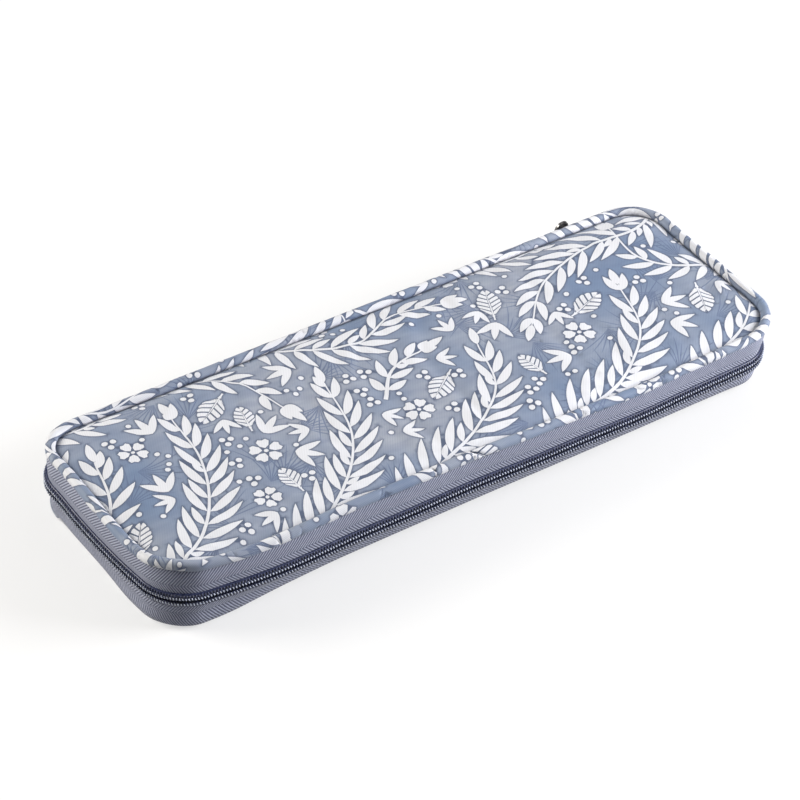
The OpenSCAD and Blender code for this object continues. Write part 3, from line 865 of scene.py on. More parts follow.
def cut_panel(border, fill, low, high, from_cloth=still):
    """Triangles of the print inside border: points, faces, ink per face, halo per point."""
    def chosen(outlines):
        found = []
        for outline in outlines:
            outline = from_cloth(outline)
            if (outline.max(0) > low).all() and (outline.min(0) < high).all():
                part = clipped(outline, low, high)
                if part is not None:
                    found.append(part)
        return found
    pale, tonal = chosen(CLOTH.pale), chosen(CLOTH.tonal)
    rims = np.vstack([rim_points(q, RIM_GAP) for q in pale])
    tree = kdtree.KDTree(len(rims))
    for i, p in enumerate(rims):
        tree.insert((*p, 0), i)
    tree.balance()

    def gap_to_pale(p):
        return tree.find((*p, 0))[2]

    points, edges = [], []
    for outline in [border, *tonal, *pale]:
        edges += ring_edges(len(outline), len(points))
        points += list(outline)
    inner = [p for p in fill if gap_to_pale(p) > KEEP_OFF]
    for outline in pale:
        run = np.roll(outline, -1, 0) - np.roll(outline, 1, 0)
        side = np.stack([run[:, 1], -run[:, 0]], 1) / (np.linalg.norm(run, axis=1)[:, None] + 1e-9)
        for p in np.vstack([outline + side * HALO, outline - side * HALO]):
            if gap_to_pale(p) > 0.85 * HALO:
                inner.append(p)
    inner = np.array(inner)
    inner = inner[inside(inner, border)]
    spots, faces = triangulated(points + list(inner), edges, False)
    middle = spots[faces].mean(1)
    kept = inside(middle, border)
    faces, middle = faces[kept], middle[kept]
    ink = np.zeros(len(faces))
    for value, outlines in ((0.5, tonal), (1.0, pale)):
        for outline in outlines:
            near = np.flatnonzero(((middle > outline.min(0)) & (middle < outline.max(0))).all(1))
            ink[near[inside(middle[near], outline)]] = value
    halo = np.array([max(0.0, 1 - gap_to_pale(p) / HALO) for p in spots])
    used = np.unique(faces)
    renumber = np.zeros(len(spots), int)
    renumber[used] = np.arange(len(used))
    return spots[used], renumber[faces], ink, halo[used]


def dye(piece, ink, halo):
    """Writes the print on a piece: ink on its first faces, halo on its first points."""
    faces, points = len(piece.data.polygons), len(piece.data.vertices)
    face_ink, point_halo = np.zeros(faces, np.float32), np.zeros(points, np.float32)
    face_ink[:len(ink)], point_halo[:len(halo)] = ink, halo
    paint(piece, "ink", "FACE", face_ink)
    paint(piece, "halo", "POINT", point_halo)


# %% [markdown]
# ## The padded lid
# Foam under the cloth swells the lid's panel: it climbs steeply out of the
# seam beside the piping, rolls over a rounded border and lies almost flat in
# the middle. The cloth is simulated: a panel that is held at its seam and a
# little too large for it is blown up by pressure. Only its ripples are kept,
# on top of the height of the foam. The heights are read off a fine grid, so
# the print's own mesh can then be laid over the shape.

# %% The shape of the padded panels
SEAM_DEPTH = 5.0
LID_LOW, LID_CROWN = 38.7, 43.3
GRID = 1.5
GRID_X = np.arange(-HALF_LEN, HALF_LEN + GRID, GRID)
GRID_Y = np.arange(-HALF_WID, HALF_WID + GRID, GRID)
FOAM_ROLL, FOAM_STEEP = 34, 4.2
BLOWN_GAP, BLOWN_FRAMES, MOST_RIPPLE = 3.6, 20, 0.8


def foam_height(x, y):
    """The lid's foam as cut: steep at the seam, rounded, then flat."""
    inward = np.clip((depth_in(x, y) - SEAM_DEPTH) / FOAM_ROLL, 0, 1)
    return LID_LOW + (LID_CROWN - LID_LOW) * (1 - (1 - inward) ** FOAM_STEEP)


def panel_border(gap=2.0):
    walk = np.linspace(0, ROUND, int(ROUND / gap), endpoint=False)
    return around(walk, SEAM_DEPTH, 0)[:, :2]


def panel_fill(gap):
    """Points to bend the panel at: rings where it is steep, then an even grid."""
    found = [around(np.arange(0, ROUND, 2.5), d, 0)[:, :2] for d in (5.7, 6.6, 7.8, 9.4, 11.5, 14)]
    x, y = np.meshgrid(np.arange(-HALF_LEN, HALF_LEN, gap), np.arange(-HALF_WID, HALF_WID, gap))
    x = x + 0.37 * np.sin(y * 1.7)
    spots = np.stack([x.ravel(), y.ravel()], 1)
    found.append(spots[depth_in(*spots.T) > 15.5])
    return np.vstack(found)


def blown_cloth():
    """The heights of the simulated lid panel over the grid, in millimetres."""
    border, fill = panel_border(BLOWN_GAP), panel_fill(BLOWN_GAP)
    flat, faces = triangulated([*border, *fill], ring_edges(len(border)), True)
    z = LID_LOW + 0.8 * (foam_height(*flat.T) - LID_LOW)
    mesh = bpy.data.meshes.new("blown cloth")
    mesh.from_pydata([tuple(p) for p in np.column_stack([flat, z]) * MM], [], faces.tolist())
    cloth = bpy.data.objects.new("blown cloth", mesh)
    bpy.context.scene.collection.objects.link(cloth)
    held = cloth.vertex_groups.new(name="seam")
    held.add([i for i, p in enumerate(flat) if depth_in(*p) < SEAM_DEPTH + 0.2], 1.0, "REPLACE")
    force = cloth.modifiers.new("cloth", "CLOTH")
    force.settings.vertex_group_mass = "seam"
    force.settings.quality = 6
    force.settings.mass = 0.3
    force.settings.tension_stiffness = force.settings.compression_stiffness = 18
    force.settings.bending_stiffness = 0.35
    force.settings.use_pressure = True
    force.settings.uniform_pressure_force = 4.0
    force.settings.shrink_min = -0.012
    force.settings.effector_weights.gravity = 0
    force.point_cache.frame_end = BLOWN_FRAMES
    for number in range(1, BLOWN_FRAMES + 1):
        bpy.context.scene.frame_set(number)
    ready = cloth.evaluated_get(bpy.context.evaluated_depsgraph_get())
    tree = BVHTree.FromObject(cloth, bpy.context.evaluated_depsgraph_get())
    heights = np.full((len(GRID_X), len(GRID_Y)), LID_LOW)
    tall = max(v.co.z for v in ready.data.vertices)
    for i, x in enumerate(GRID_X):
        for j, y in enumerate(GRID_Y):
            hit = tree.ray_cast(Vector((x * MM, y * MM, tall + 0.01)), Vector((0, 0, -1)))
            if hit[0] is not None:
                heights[i, j] = hit[0].z / MM
    bpy.context.scene.frame_set(1)
    bpy.data.objects.remove(cloth)
    print("blown cloth rises to, mm:", round(tall / MM, 2))
    return heights


def blurred(field, rounds):
    for _ in range(rounds):
        edge = np.pad(field, 1, mode="edge")
        field = (edge[:-2, 1:-1] + edge[2:, 1:-1] + edge[1:-1, :-2] + edge[1:-1, 2:]
                 + 4 * edge[1:-1, 1:-1]) / 8
    return field


def lid_heights():
    """The cloth lies on the foam: its own ripples stay, but it can't rise far above it."""
    plan = np.meshgrid(GRID_X, GRID_Y, indexing="ij")
    foam = foam_height(*plan)
    blown = blown_cloth()
    ripple = blown - blurred(blown, 40)
    inward = ease((depth_in(*plan) - SEAM_DEPTH) / 6)
    return blurred(foam + np.clip(ripple, -MOST_RIPPLE, MOST_RIPPLE) * inward, 1)


def reader(field):
    """A function that reads a grid of heights at any place between its points."""
    def read(x, y):
        u = np.clip((x - GRID_X[0]) / GRID, 0, len(GRID_X) - 1.001)
        v = np.clip((y - GRID_Y[0]) / GRID, 0, len(GRID_Y) - 1.001)
        i, j = u.astype(int), v.astype(int)
        a, b = u - i, v - j
        return ((field[i, j] * (1 - a) + field[i + 1, j] * a) * (1 - b)
                + (field[i, j + 1] * (1 - a) + field[i + 1, j + 1] * a) * b)
    return read


LID_TOP = reader(lid_heights())


# %% Laying the print over a padded panel
BACK_RINGS = (0, 5, 10, 15, 20.5)


def pad(name, fill_gap, height, floor_z, lay, stands_for, body):
    """A padded panel: printed face outside, plain sides and back, closed all round.

    lay leads from the panel to the flat cloth and, as half a turn or none, back again."""
    border = panel_border()
    low, high = border.min(0) - 1, border.max(0) + 1
    spots, faces, ink, halo = cut_panel(border, panel_fill(fill_gap), low, high, lay)
    points = [np.column_stack([spots, height(*spots.T)])]
    faces = [tuple(f) for f in faces]
    use = {}
    for f in faces:
        for a, b in zip(f, f[1:] + f[:1]):
            use[(a, b)] = use.get((a, b), 0) + 1
    rim = {a: b for (a, b) in use if (b, a) not in use}
    start = next(iter(rim))
    loop = [start]
    while rim[loop[-1]] != start:
        loop.append(rim[loop[-1]])
    count, first = len(loop), len(spots)
    inward = -outward(walk_at(*spots[loop].T))[:, :2]
    under = np.vstack([spots[loop] + inward * d for d in BACK_RINGS])
    points.append(np.column_stack([under, np.full(len(under), floor_z)]))
    sides = [(loop[b], loop[a], first + a, first + b) for a, b in ring_edges(count)]
    back = [tuple(first + i for i in f) for f in grid_faces(len(BACK_RINGS), count)[0]]
    back.append(tuple(range(first + len(under) - count, first + len(under))))
    piece = sew(name, settle(np.vstack(points)), faces + sides + back, PRINTED, body,
                stands_for)
    set_point_uv(piece, lay(np.vstack([spots, under])))
    dye(piece, ink, halo)
    face_out(piece)
    return piece


lid_pad = pad("lid_padded_panel", 3.0, LID_TOP, 36.8, still,
              ("lid_cover", "lid_padding", "lid_board"), "lid")
print("lid panel triangles:", len(lid_pad.data.polygons))


BASE_ROLL, BASE_EDGE_Z, BASE_REST_Z = 12, 4.4, 0.04


def base_height(x, y):
    """The base's panel: pressed flat by the table, and rolled up to its seam."""
    inward = np.clip((depth_in(x, y) - SEAM_DEPTH) / BASE_ROLL, 0, 1)
    return BASE_EDGE_Z - (BASE_EDGE_Z - BASE_REST_Z) * (1 - (1 - inward) ** 3)


def turned_round(spots):
    return -np.asarray(spots, float)


base_pad = pad("base_padded_panel", 4.0, base_height, 6.3, turned_round,
               ("base_cover", "base_padding", "base_board"), "base")
print("base panel triangles:", len(base_pad.data.polygons))

# %% [markdown]
# ## Piping
# A cord wrapped in a strip of the same print runs round both panels. The
# strip is cut from the flat cloth in three lengths and rolled into a tube, so
# the print crosses the piping in short pale bars as it does on the real case.

# %% Piping
PIPE, PIPE_DEPTH = 2.75, 2.75
STRIP_WIDE = 2 * math.pi * PIPE
STRIP_LONG = ROUND / 3


def piping(name, seam_z, strip_at, seam_turn, stands_for, body):
    """Three strips of print rolled round the edge; their long edges meet on the hidden side."""
    all_points, all_faces, all_uv, all_ink, all_halo, first = [], [], [], [], [], 0
    half = np.array([STRIP_LONG / 2, STRIP_WIDE / 2])
    border, fill = plan_grid(-half, half, 2.2, 1.25)
    for k, y0 in enumerate(strip_at):
        shift = np.array([0.0, y0])
        spots, faces, ink, halo = cut_panel(border, fill, -half + 0.5, half - 0.5, lambda p: p - shift)
        walk = (spots[:, 0] + half[0]) + k * STRIP_LONG
        turn = seam_turn + spots[:, 1] / PIPE
        radius = PIPE * (1 + 0.02 * np.sin(walk / 3.1) * np.sin(walk / 11))
        points = around(walk, PIPE_DEPTH, seam_z)
        points = points + outward(walk) * (radius * np.cos(turn))[:, None]
        points[:, 2] += radius * np.sin(turn)
        all_points.append(points)
        all_faces += list(faces + first)
        all_uv += [spots[i] + shift for f in faces for i in f]
        all_ink.append(ink)
        all_halo.append(halo)
        first += len(spots)
    piece = sew(name, settle(np.vstack(all_points)), all_faces, PRINTED, body,
                stands_for)
    set_uv(piece, all_uv)
    dye(piece, np.concatenate(all_ink), np.concatenate(all_halo))
    unpaired = face_out(piece, 0.02)
    print(name, "triangles:", len(piece.data.polygons), "unpaired edges:", unpaired)
    return piece


piping("lid_piping_roll", LID_SEAM, (-52, -8, 46), math.radians(60),
       ("lid_piping", "lid_piping_cord"), "lid")
piping("base_piping_roll", BASE_SEAM, (-30, 22, 64), math.radians(-60),
       ("base_piping", "base_piping_cord"), "base")

# %% [markdown]
# ## The zip
# Two herringbone tapes rise from the piping to the middle of the wall. The
# nylon coils sit on them, edge to edge: short slanting loops of dark nylon,
# held by a row of pale stitches. One loop and one stitch are modelled and
# then copied along the outline, with few faces because there are hundreds.

# %% Zip tapes
TAPE_FRONT, TAPE_THICK = 1.8, 0.8
UPPER_TAPE_EDGE, LOWER_TAPE_EDGE = 22.0, 21.1
UPPER_TAPE_SEAM, LOWER_TAPE_SEAM = 38.4, 5.9
ZIP_GAP = 2.5
ZIP_WALK = steps(ZIP_FROM, ZIP_TO, ZIP_GAP)


def upper_section():
    """The upper tape from its seam to its free edge, swelling a little between them."""
    t = np.linspace(0, 1, 9)
    swell = np.where(t < 0.72, 0.55 * np.sin(math.pi * t / 0.72), 0)
    return walled(TAPE_FRONT - swell, UPPER_TAPE_SEAM + (UPPER_TAPE_EDGE - UPPER_TAPE_SEAM) * t)


def lower_section(walk):
    """The lower tape, which blouses over the base's piping except near the spine."""
    over = np.interp(walk, [ZIP_FROM + 12, 292, 660, 715, ZIP_TO - 60, ZIP_TO - 12],
                     [0, 1, 1, 0.62, 0.5, 0])
    low_edge = LOWER_TAPE_SEAM - 4.5 * over
    t = np.linspace(0, 1, 11)
    z = low_edge + (LOWER_TAPE_EDGE - low_edge) * t
    swell = 0.5 * np.sin(math.pi * np.clip((z - 6) / 11.5, 0, 1))
    out = 2.5 * min(1.0, 2.2 * over) * ease((10 - z) / 5)
    return walled(np.append(TAPE_FRONT + 1.2 - out[0], TAPE_FRONT - swell - out),
                  np.append(low_edge - 0.5 * over, z))


def walled(depth, z):
    """A thin closed section from the line of its outer face."""
    outer = list(zip(depth.tolist(), z.tolist()))
    return outer + [(d + TAPE_THICK, h) for d, h in outer[::-1]]


def plain_tape(seam_z, zip_z):
    t = np.linspace(0, 1, 9)
    return walled(np.full(9, TAPE_FRONT), seam_z + (zip_z - seam_z) * t)


def zip_tape_piece(name, section, stands_for, body, walk=ZIP_WALK, shape=settle):
    piece = sweep(name, section, walk, TAPE, body, shape=shape, stands_for=stands_for)
    return piece


zip_tape_piece("zip_tape_upper", upper_section(), ("upper_zip_tape",), "lid")
zip_tape_piece("zip_tape_lower", lower_section, ("lower_zip_tape",), "base")

# %% Zip coils and their stitches
ROD_SIDES = 4
LOOP_PITCH, LOOP_THICK, DASH_THICK = 1.7, 0.95, 0.65
CORD_SPAN = (0.35, 4.25)
# Each point: along the chain, out from the tape, and away from the middle of the zip
NYLON_LOOP = [(0.40, 0.25, 3.7), (0.40, 1.15, 3.45), (0.15, 1.35, 2.2), (-0.15, 1.3, 0.85),
              (-0.25, 1.0, -0.1), (0.0, 0.4, 0.3)]
STITCH_DASH = [(-0.2, 1.5, 1.2), (-0.15, 1.95, 1.4), (0.15, 2.0, 2.05), (0.2, 1.6, 2.25)]


def rod(path, thick):
    """A closed thin rod along a short path of (along, out, up) points."""
    path = np.array(path, float)
    run = np.gradient(path, axis=0)
    run /= np.linalg.norm(run, axis=1)[:, None]
    first = np.cross(run, (0, 0.3, 1.0))
    first /= np.linalg.norm(first, axis=1)[:, None]
    second = np.cross(run, first)
    turn = np.arange(ROD_SIDES) * 2 * math.pi / ROD_SIDES + math.pi / 4
    rings = [p + thick / 2 * (a * np.cos(turn)[:, None] + b * np.sin(turn)[:, None])
             for p, a, b in zip(path, first, second)]
    faces, _ = grid_faces(len(path), ROD_SIDES)
    faces += [tuple(range(ROD_SIDES - 1, -1, -1)),
              tuple(range((len(path) - 1) * ROD_SIDES, len(path) * ROD_SIDES))]
    return np.vstack(rings), faces


def repeat_round(name, model, faces, walks, material, body, upward, shape, stands_for=()):
    """Copies of one small shape, side by side round the edge, as one piece."""
    points, all_faces = [], []
    for k, walk in enumerate(walks):
        points.append(around(walk + model[:, 0], TAPE_FRONT - model[:, 1],
                             ZIP_MID + upward * model[:, 2]))
        all_faces += [tuple(i + k * len(model) for i in f) for f in faces]
    piece = sew(name, shape(np.vstack(points)), all_faces, material, body, stands_for)
    face_out(piece)


def chain_half(name, body, upward, walk_from, walk_to, shape, stands_for):
    """One side of the chain: nylon loops, the flat cord inside them and the stitches over them."""
    shift = LOOP_PITCH / 2 if upward > 0 else 0
    walks = np.arange(walk_from + 0.6 + shift, walk_to - 0.6, LOOP_PITCH)
    loop, loop_faces = rod(NYLON_LOOP, LOOP_THICK)
    repeat_round(name, loop, loop_faces, walks, COIL, body, upward, shape, stands_for)
    dash, dash_faces = rod(STITCH_DASH, DASH_THICK)
    dash[:, 0] *= upward
    repeat_round(name + "_stitches", dash, dash_faces, walks + LOOP_PITCH / 2, STITCH, body, upward, shape)
    low, high = sorted(ZIP_MID + upward * reach for reach in CORD_SPAN)
    under, over = TAPE_FRONT - 0.02, TAPE_FRONT - 0.95
    sweep(name + "_cord", [(under, low), (over, low + 0.3), (over, high - 0.3), (under, high)],
          steps(walk_from, walk_to, ZIP_GAP), COIL, body, shape=shape)
    print(name, "loops:", len(walks))


chain_half("zip_coil_upper", "lid", 1, ZIP_FROM, ZIP_TO, settle, ("upper_zip_coil",))
chain_half("zip_coil_lower", "base", -1, ZIP_FROM, ZIP_TO, settle, ("lower_zip_coil",))

# %% [markdown]
# ## The spine and the ends of the zip
# Behind, a strip of the printed cloth bridges the two pipings. The zip runs
# on past the corners to meet it, and is stopped at each end.

# %% The spine and the ends of the zip
SPINE_HALF, SPINE_RISE = 124.0, 15.9
TAIL_TAPE_FROM, TAIL_COIL_FROM, TAIL_TO = 119.0, 127.0, 168.7


def printed_band(name, half, gap, face, back, body, stands_for, shape=settle):
    """A strip of the print, laid over a surface: face places its points, back leads to its underside."""
    border, fill = plan_grid(-np.array(half), np.array(half), *gap)
    spots, faces, ink, halo = cut_panel(border, fill, -np.array(half) + 0.3, np.array(half) - 0.3)
    outer, count = face(spots), len(spots)
    rim = [np.flatnonzero(np.hypot(*(spots - p).T) < 1e-3)[0] for p in border]
    sides = [(a, b, b + count, a + count) for a, b in zip(rim, rim[1:] + rim[:1])]
    all_faces = [*faces, *(faces[:, ::-1] + count), *sides]
    piece = sew(name, shape(np.vstack([outer, outer + back])), all_faces, PRINTED, body,
                stands_for)
    set_point_uv(piece, np.vstack([spots, spots]))
    dye(piece, ink, halo)
    face_out(piece)
    return piece


def over_spine(spots):
    bow = 0.5 * np.cos(spots[:, 1] / SPINE_RISE * math.pi / 2)
    return np.column_stack([spots[:, 0], 65.55 + bow, ZIP_MID + spots[:, 1]])


printed_band("spine_cloth", (SPINE_HALF, SPINE_RISE), (3, 2.4), over_spine, (0, -0.75, 0), "spine",
             ("spine_cover",), still)
for end in ("right", "left"):
    tape_span, coil_span = ((start, TAIL_TO) if end == "right" else (ROUND - TAIL_TO, ROUND - start)
                            for start in (TAIL_TAPE_FROM, TAIL_COIL_FROM))
    for half, seam_z, zip_z, upward in (("upper", 37.05, UPPER_TAPE_EDGE, 1),
                                        ("lower", 6.05, LOWER_TAPE_EDGE, -1)):
        zip_tape_piece(f"tail_tape_{half}_{end}", plain_tape(seam_z, zip_z),
                       (f"tail_tape_{half}",), "spine", steps(*tape_span, ZIP_GAP), still)
        chain_half(f"tail_coil_{half}_{end}", "spine", upward, *coil_span, still,
                   (f"tail_coil_{half}",))

# %% [markdown]
# ## Seam shade
# Where two pieces are sewn edge to edge, the cloth turns down into the seam and
# a dark line is left. The share of shade is painted on the points that are
# close to the neighbouring piece.

# %% Seam shade
def shade_seams(piece, neighbours, reach=0.8):
    """Writes `seam`, which is 1 where a piece touches a neighbour and fades within reach, in mm."""
    trees = [BVHTree.FromPolygons([v.co for v in o.data.vertices], [p.vertices for p in o.data.polygons])
             for o in neighbours]
    near = [min(tree.find_nearest(v.co)[3] for tree in trees) / MM for v in piece.data.vertices]
    shade = np.clip(1.25 - np.array(near) / reach, 0, 1)
    paint(piece, "seam", "POINT", shade)
    print(piece.name, "points in the seams:", int((shade > 0).sum()))


for side, half in (("lid", "upper"), ("base", "lower")):
    roll, panel, tape = (bpy.data.objects[n] for n in (f"{side}_piping_roll", f"{side}_padded_panel",
                                                       f"zip_tape_{half}"))
    shade_seams(roll, [panel, tape])
    shade_seams(panel, [roll])

# %% [markdown]
# ## Linings
# Inside, both halves are lined with a plain woven cloth that lies on the
# boards, and a ribbed binding covers the raw edges where the lining meets the
# zip's tape. The lining is a thin closed sheet over a plan outline, and the
# binding is a small rounded section dragged round the edge.

# %% A sheet over a plan outline
def cloth_slab(name, border, fill, outer, shift, material, body, stands_for, shape=settle):
    """A closed sheet: outer gives its outer face, and shift leads from it to its back."""
    rim = ring_edges(len(border))
    spots, front = triangulated([*border, *fill[inside(fill, border)]], rim, True)
    count, face = len(spots), outer(spots)
    faces = [*front, *(front[:, ::-1] + count), *((a, b, b + count, a + count) for a, b in rim)]
    piece = sew(name, shape(np.vstack([face, face + shift])), faces, material, body, stands_for)
    set_point_uv(piece, np.vstack([spots, spots]))
    face_out(piece)
    return piece


# %% Linings and bindings
LINING_DEPTH, LINING_THICK = 3.9, 0.65
BASE_LINING_Z, LID_LINING_Z, BINDING_TALL = 7.0, 36.1, 2.2


def lining(body, top_z, shift_z):
    """The lining of one half; shift_z leads from its open face to the boards.

    Its edge is drawn in with the rest of the soft case."""
    walk = np.linspace(0, ROUND, 400, endpoint=False)
    border = around(walk, LINING_DEPTH, 0)[:, :2]
    grid = np.stack(np.meshgrid(np.arange(-189, 190, 7.0), np.arange(-61, 62, 7.0)), -1).reshape(-1, 2)

    def laid(spots):
        x, y = spots.T
        ripple = 0.22 * np.sin(x / 17 + y / 9) * np.sin(y / 13 - x / 41)
        soft = ease((depth_in(x, y) - LINING_DEPTH - 3) / 8)
        return np.column_stack([x, y, top_z - np.sign(shift_z) * ripple * soft])

    piece = cloth_slab(f"{body}_lining_sheet", border, grid[depth_in(*grid.T) > LINING_DEPTH + 2], laid,
                       (0, 0, shift_z), LINING, body, (f"{body}_lining",))


def binding(body, low):
    """A strip folded over the raw edge, from this height up.

    The turned-under part isn't modelled, so the strip is only what shows of a wider one."""
    high = low + BINDING_TALL
    section = [(2.95, low), (2.75, low + 0.6), (2.75, high - 0.6), (2.95, high), (3.5, high + 0.05),
               (3.95, high - 0.5), (4.05, (low + high) / 2), (3.95, low + 0.5), (3.5, low)]
    strip = sweep(f"{body}_binding_strip", section, np.linspace(0, ROUND, 420, endpoint=False),
                  BINDING, body, closed=True, stands_for=(f"{body}_binding",))
    print(strip.name, "faces:", len(strip.data.polygons))


lining("base", BASE_LINING_Z, -LINING_THICK)
lining("lid", LID_LINING_Z, LINING_THICK)
binding("base", BASE_LINING_Z)
binding("lid", LID_LINING_Z - BINDING_TALL)

# %% [markdown]
# ## The needle sleeve and its elastic
# A sheet of lining is sewn down in lines, so that it stands up in eight round
# channels for the needles. The opening is bound with the printed cloth, and
# farther on an elastic, tacked down between the channels, holds the needles'
# ends. One profile across the case gives all three their swell.

# %% The swell of the channels
CHANNELS, SLEEVE_Y = 8, 59.0
CHANNEL_PITCH = 2 * SLEEVE_Y / CHANNELS
SLEEVE_FROM, SLEEVE_TO, SLEEVE_RISE = -176, 74, 5.1
ELASTIC_FROM, ELASTIC_TO, ELASTIC_RISE = 115.5, 140.5, 5.6


def swell(y, share=0.42):
    """0 on each seam and 1 in the middle of each channel."""
    return np.abs(np.sin(math.pi * (y + SLEEVE_Y) / CHANNEL_PITCH)) ** share


def sleeve_top(spots):
    x, y = spots.T
    uneven = 1 + 0.05 * np.sin(x / 19 + 1.7 * np.round(y / CHANNEL_PITCH))
    tall = SLEEVE_RISE * ease((x - SLEEVE_FROM) / 9) * uneven
    return np.column_stack([x, y, 7.75 + tall * swell(y)])


def elastic_top(spots):
    x, y = spots.T
    rib = 0.12 * np.sin(x * 2 * math.pi / 3.1)
    return np.column_stack([x, y, 7.9 + ELASTIC_RISE * swell(y, 0.5) + rib])


border, fill = plan_grid((SLEEVE_FROM, -SLEEVE_Y), (SLEEVE_TO, SLEEVE_Y), 5, CHANNEL_PITCH / 12)
sleeve = cloth_slab("needle_sleeve_sheet", border, fill, sleeve_top, (0, 0, -0.6), LINING, "base",
                    ("needle_sleeve", "sleeve_seams", "sleeve_end_seam"))
border, fill = plan_grid((ELASTIC_FROM, -SLEEVE_Y), (ELASTIC_TO, SLEEVE_Y), 0.78, CHANNEL_PITCH / 12)
band = cloth_slab("needle_elastic_band", border, fill, elastic_top, (0, 0, -0.8), ELASTIC, "base",
                  ("needle_elastic", "elastic_tacks"))


def stitch_rows(name, rows, body):
    """Short stitches along straight lines; each row is a start, an end and the height above it."""
    stitch, stitch_faces = rod([(-1.0, 0, -0.15), (-0.8, 0, 0.16), (0.8, 0, 0.16), (1.0, 0, -0.15)], 0.34)
    points, faces = [], []
    for start, end in rows:
        start, end = np.array(start, float), np.array(end, float)
        length = np.linalg.norm(end - start)
        along = (end - start) / length
        side = np.cross((0, 0, 1), along)
        for reach in np.arange(1.8, length - 1.2, 3.0):
            first = len(points) * len(stitch)
            points.append(start + along * reach + stitch[:, :1] * along + stitch[:, 1:2] * side
                          + stitch[:, 2:] * (0, 0, 1))
            faces += [tuple(i + first for i in f) for f in stitch_faces]
    piece = sew(name, settle(np.vstack(points)), faces, STITCH, body)
    face_out(piece)
    print(name, "stitches:", len(points))


seams = [-SLEEVE_Y + k * CHANNEL_PITCH for k in range(1, CHANNELS)]
end_seam = ((SLEEVE_FROM + 2, -57, 7.95), (SLEEVE_FROM + 2, 57, 7.95))
stitch_rows("sleeve_stitches", [((SLEEVE_FROM + 4, y, 7.95), (SLEEVE_TO - 2, y, 7.95)) for y in seams]
            + [end_seam], "base")
stitch_rows("elastic_stitches", [((ELASTIC_FROM + 1.5, y + d, 8.15), (ELASTIC_TO - 1.5, y + d, 8.15))
                                 for y in seams for d in (-0.7, 0.7)], "base")


# %% The printed edge of the sleeve
EDGE_HALF = 4.0


def on_sleeve(spots):
    return sleeve_top(spots + (SLEEVE_TO - EDGE_HALF, 0)) + (0, 0, 0.5)


printed_band("sleeve_printed_edge", (EDGE_HALF, SLEEVE_Y), (2.0, CHANNEL_PITCH / 8), on_sleeve,
             (0, 0, -0.6), "base", ("sleeve_binding",))

# %% [markdown]
# ## The lid's slip pockets
# Two shallow pockets share one sheet of lining on the inside of the lid. It is
# sewn down along three sides and the middle, and an elastic gathers its mouth
# into small folds.

# %% The lid's slip pockets
POCKET_X, POCKET_MOUTH, POCKET_END = 176.0, -10.0, 59.0
POCKET_SWELL, FOLD_PITCH = 4.9, 7.3


def mouth_fold(x, depth):
    """Small uneven folds along the mouth, this deep."""
    return depth * np.sin(2 * math.pi * x / FOLD_PITCH + 0.8 * np.sin(x / 9))


def between_seams(x):
    """0 on the side seams and the middle one, and 1 away from them."""
    return ease(np.minimum(POCKET_X - np.abs(x), np.abs(x)) / 9)


def pocket_face(spots):
    x, y = spots.T
    down = ease((POCKET_END - y) / 10)
    fold = mouth_fold(x, 0.55) * np.exp((POCKET_MOUTH - y) / 9)
    return np.column_stack([x, y, 35.6 - (POCKET_SWELL + fold) * between_seams(x) * down])


def gathered(spots):
    x, y = spots.T
    return np.column_stack([x, y, 34.9 - (POCKET_SWELL + mouth_fold(x, 0.5)) * between_seams(x)])


border, fill = plan_grid((-POCKET_X, POCKET_MOUTH), (POCKET_X, POCKET_END), 1.6, 5)
pocket = cloth_slab("lid_pocket_sheet", border, fill, pocket_face, (0, 0, 0.5), LINING, "lid",
                    ("lid_pocket", "pocket_side_seams", "pocket_end_seam"))
border, fill = plan_grid((-POCKET_X, POCKET_MOUTH), (POCKET_X, 0), 1.2, 1.25)
mouth = cloth_slab("pocket_elastic_band", border, fill, gathered, (0, 0, 0.6), ELASTIC, "lid",
                   ("pocket_elastic",))
stitch_rows("pocket_stitches", [((x, -8, 35.45), (x, 57, 35.45)) for x in (-174.5, 0, 174.5)]
            + [((-174, 57.6, 35.45), (174, 57.6, 35.45))], "lid")

# %% [markdown]
# ## The spine's lining and the parts kept from the CAD model
# The spine is lined like the rest. Its stiffener, the zip's stops, the slider
# and its ring already have their true shapes, so they keep them and only get
# their finishes.

# %% The spine's lining and the parts kept from the CAD model
def behind(spots):
    return np.column_stack([spots[:, 0], 63.75 + 0.12 * np.sin(spots[:, 0] / 13), ZIP_MID + spots[:, 1]])


border, fill = plan_grid((-SPINE_HALF, -15.4), (SPINE_HALF, 15.4), 6, 3)
back_lining = cloth_slab("spine_lining_sheet", border, fill, behind, (0, 0.6, 0), LINING, "spine",
                         ("spine_lining",), still)

KEPT = {"spine_stiffener": grey_board(), "zip_top_stops": METAL, "zip_bottom_stop": METAL,
        "slider": METAL, "pull_ring": METAL, "pull_tab": METAL}
for node_name, finish in KEPT.items():
    for kept_slot in bpy.data.objects[node_name].material_slots:
        kept_slot.material = finish
print("kept from the CAD model:", ", ".join(KEPT))

# %% [markdown]
# ## Floor, backdrop and light
# The photograph's ground is pure white and keeps a soft shadow. The floor is
# a pale surface that shows a share of plain white to the camera, so that it
# reads white without more light on the object.

# %% Floor, backdrop and light
FLOOR_GLOW, SKY = 0.6, 0.05


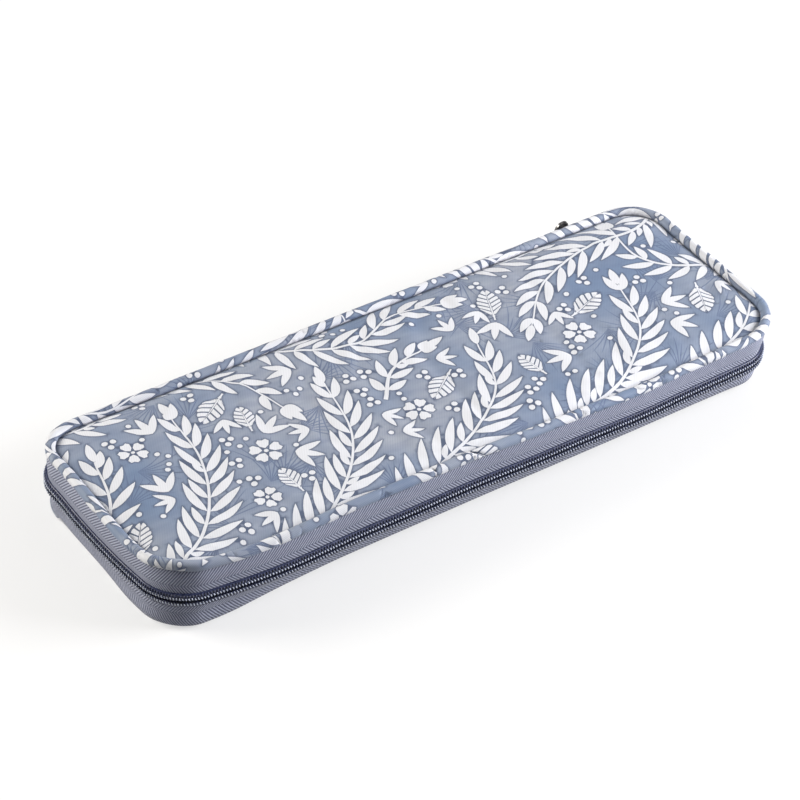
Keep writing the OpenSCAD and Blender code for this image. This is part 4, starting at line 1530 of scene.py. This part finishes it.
def pale_floor():
    """White to the camera with the shadow kept; duller to the light that it throws back."""
    made = Finish("pale floor", 0.9)
    path = node(made.tree, "ShaderNodeLightPath")
    looked_at = maths(made.tree, "MAXIMUM", path.outputs["Is Camera Ray"], path.outputs["Is Glossy Ray"])
    made.colour(made.mix(looked_at, srgb(170, 171, 174), srgb(247, 247, 248)))
    glow = node(made.tree, "ShaderNodeEmission", Strength=1.0)
    mixed = node(made.tree, "ShaderNodeMixShader", {
        0: made.times(looked_at, FLOOR_GLOW), 1: made.shader.outputs[0], 2: glow.outputs[0]})
    out = next(n for n in made.tree.nodes if n.type == "OUTPUT_MATERIAL")
    made.tree.links.new(mixed.outputs[0], out.inputs["Surface"])
    return made.material


bpy.ops.object.select_all(action="DESELECT")
bpy.ops.mesh.primitive_plane_add(size=8, location=(0, 0, -0.0002))
floor = bpy.context.object
floor.name = "floor"
floor.data.materials.append(pale_floor())

world = bpy.data.worlds.new("studio")
world.use_nodes = True
bpy.context.scene.world = world
background = world.node_tree.nodes["Background"]
path = node(world.node_tree, "ShaderNodeLightPath")
seen = maths(world.node_tree, "MAXIMUM", path.outputs["Is Camera Ray"], path.outputs["Is Glossy Ray"])
world.node_tree.links.new(maths(world.node_tree, "MULTIPLY_ADD", seen, 1 - SKY, SKY),
                          background.inputs["Strength"])

# Place and aim in metres, size in metres, power in watts, tint
LAMPS = {
    "top": ((0.6, 0.15, 1.5), (0, 0, 0), 1.6, 6, (1, 1, 1)),
    "right": ((1.1, -0.7, 0.6), (0.1, 0, 0), 0.8, 34, (0.99, 0.99, 1)),
    "left": ((-1.2, 0.9, 0.8), (-0.1, 0, 0), 0.9, 33, (1, 0.965, 0.89)),
}
for name, (place, aim, size, power, tint) in LAMPS.items():
    lamp = bpy.data.objects.new(name, bpy.data.lights.new(name, "AREA"))
    lamp.data.size, lamp.data.energy, lamp.data.color = size, power, tint
    lamp.location = place
    lamp.rotation_euler = (Vector(aim) - Vector(place)).to_track_quat("-Z", "Y").to_euler()
    bpy.context.scene.collection.objects.link(lamp)

bpy.context.scene.view_settings.view_transform = "Standard"
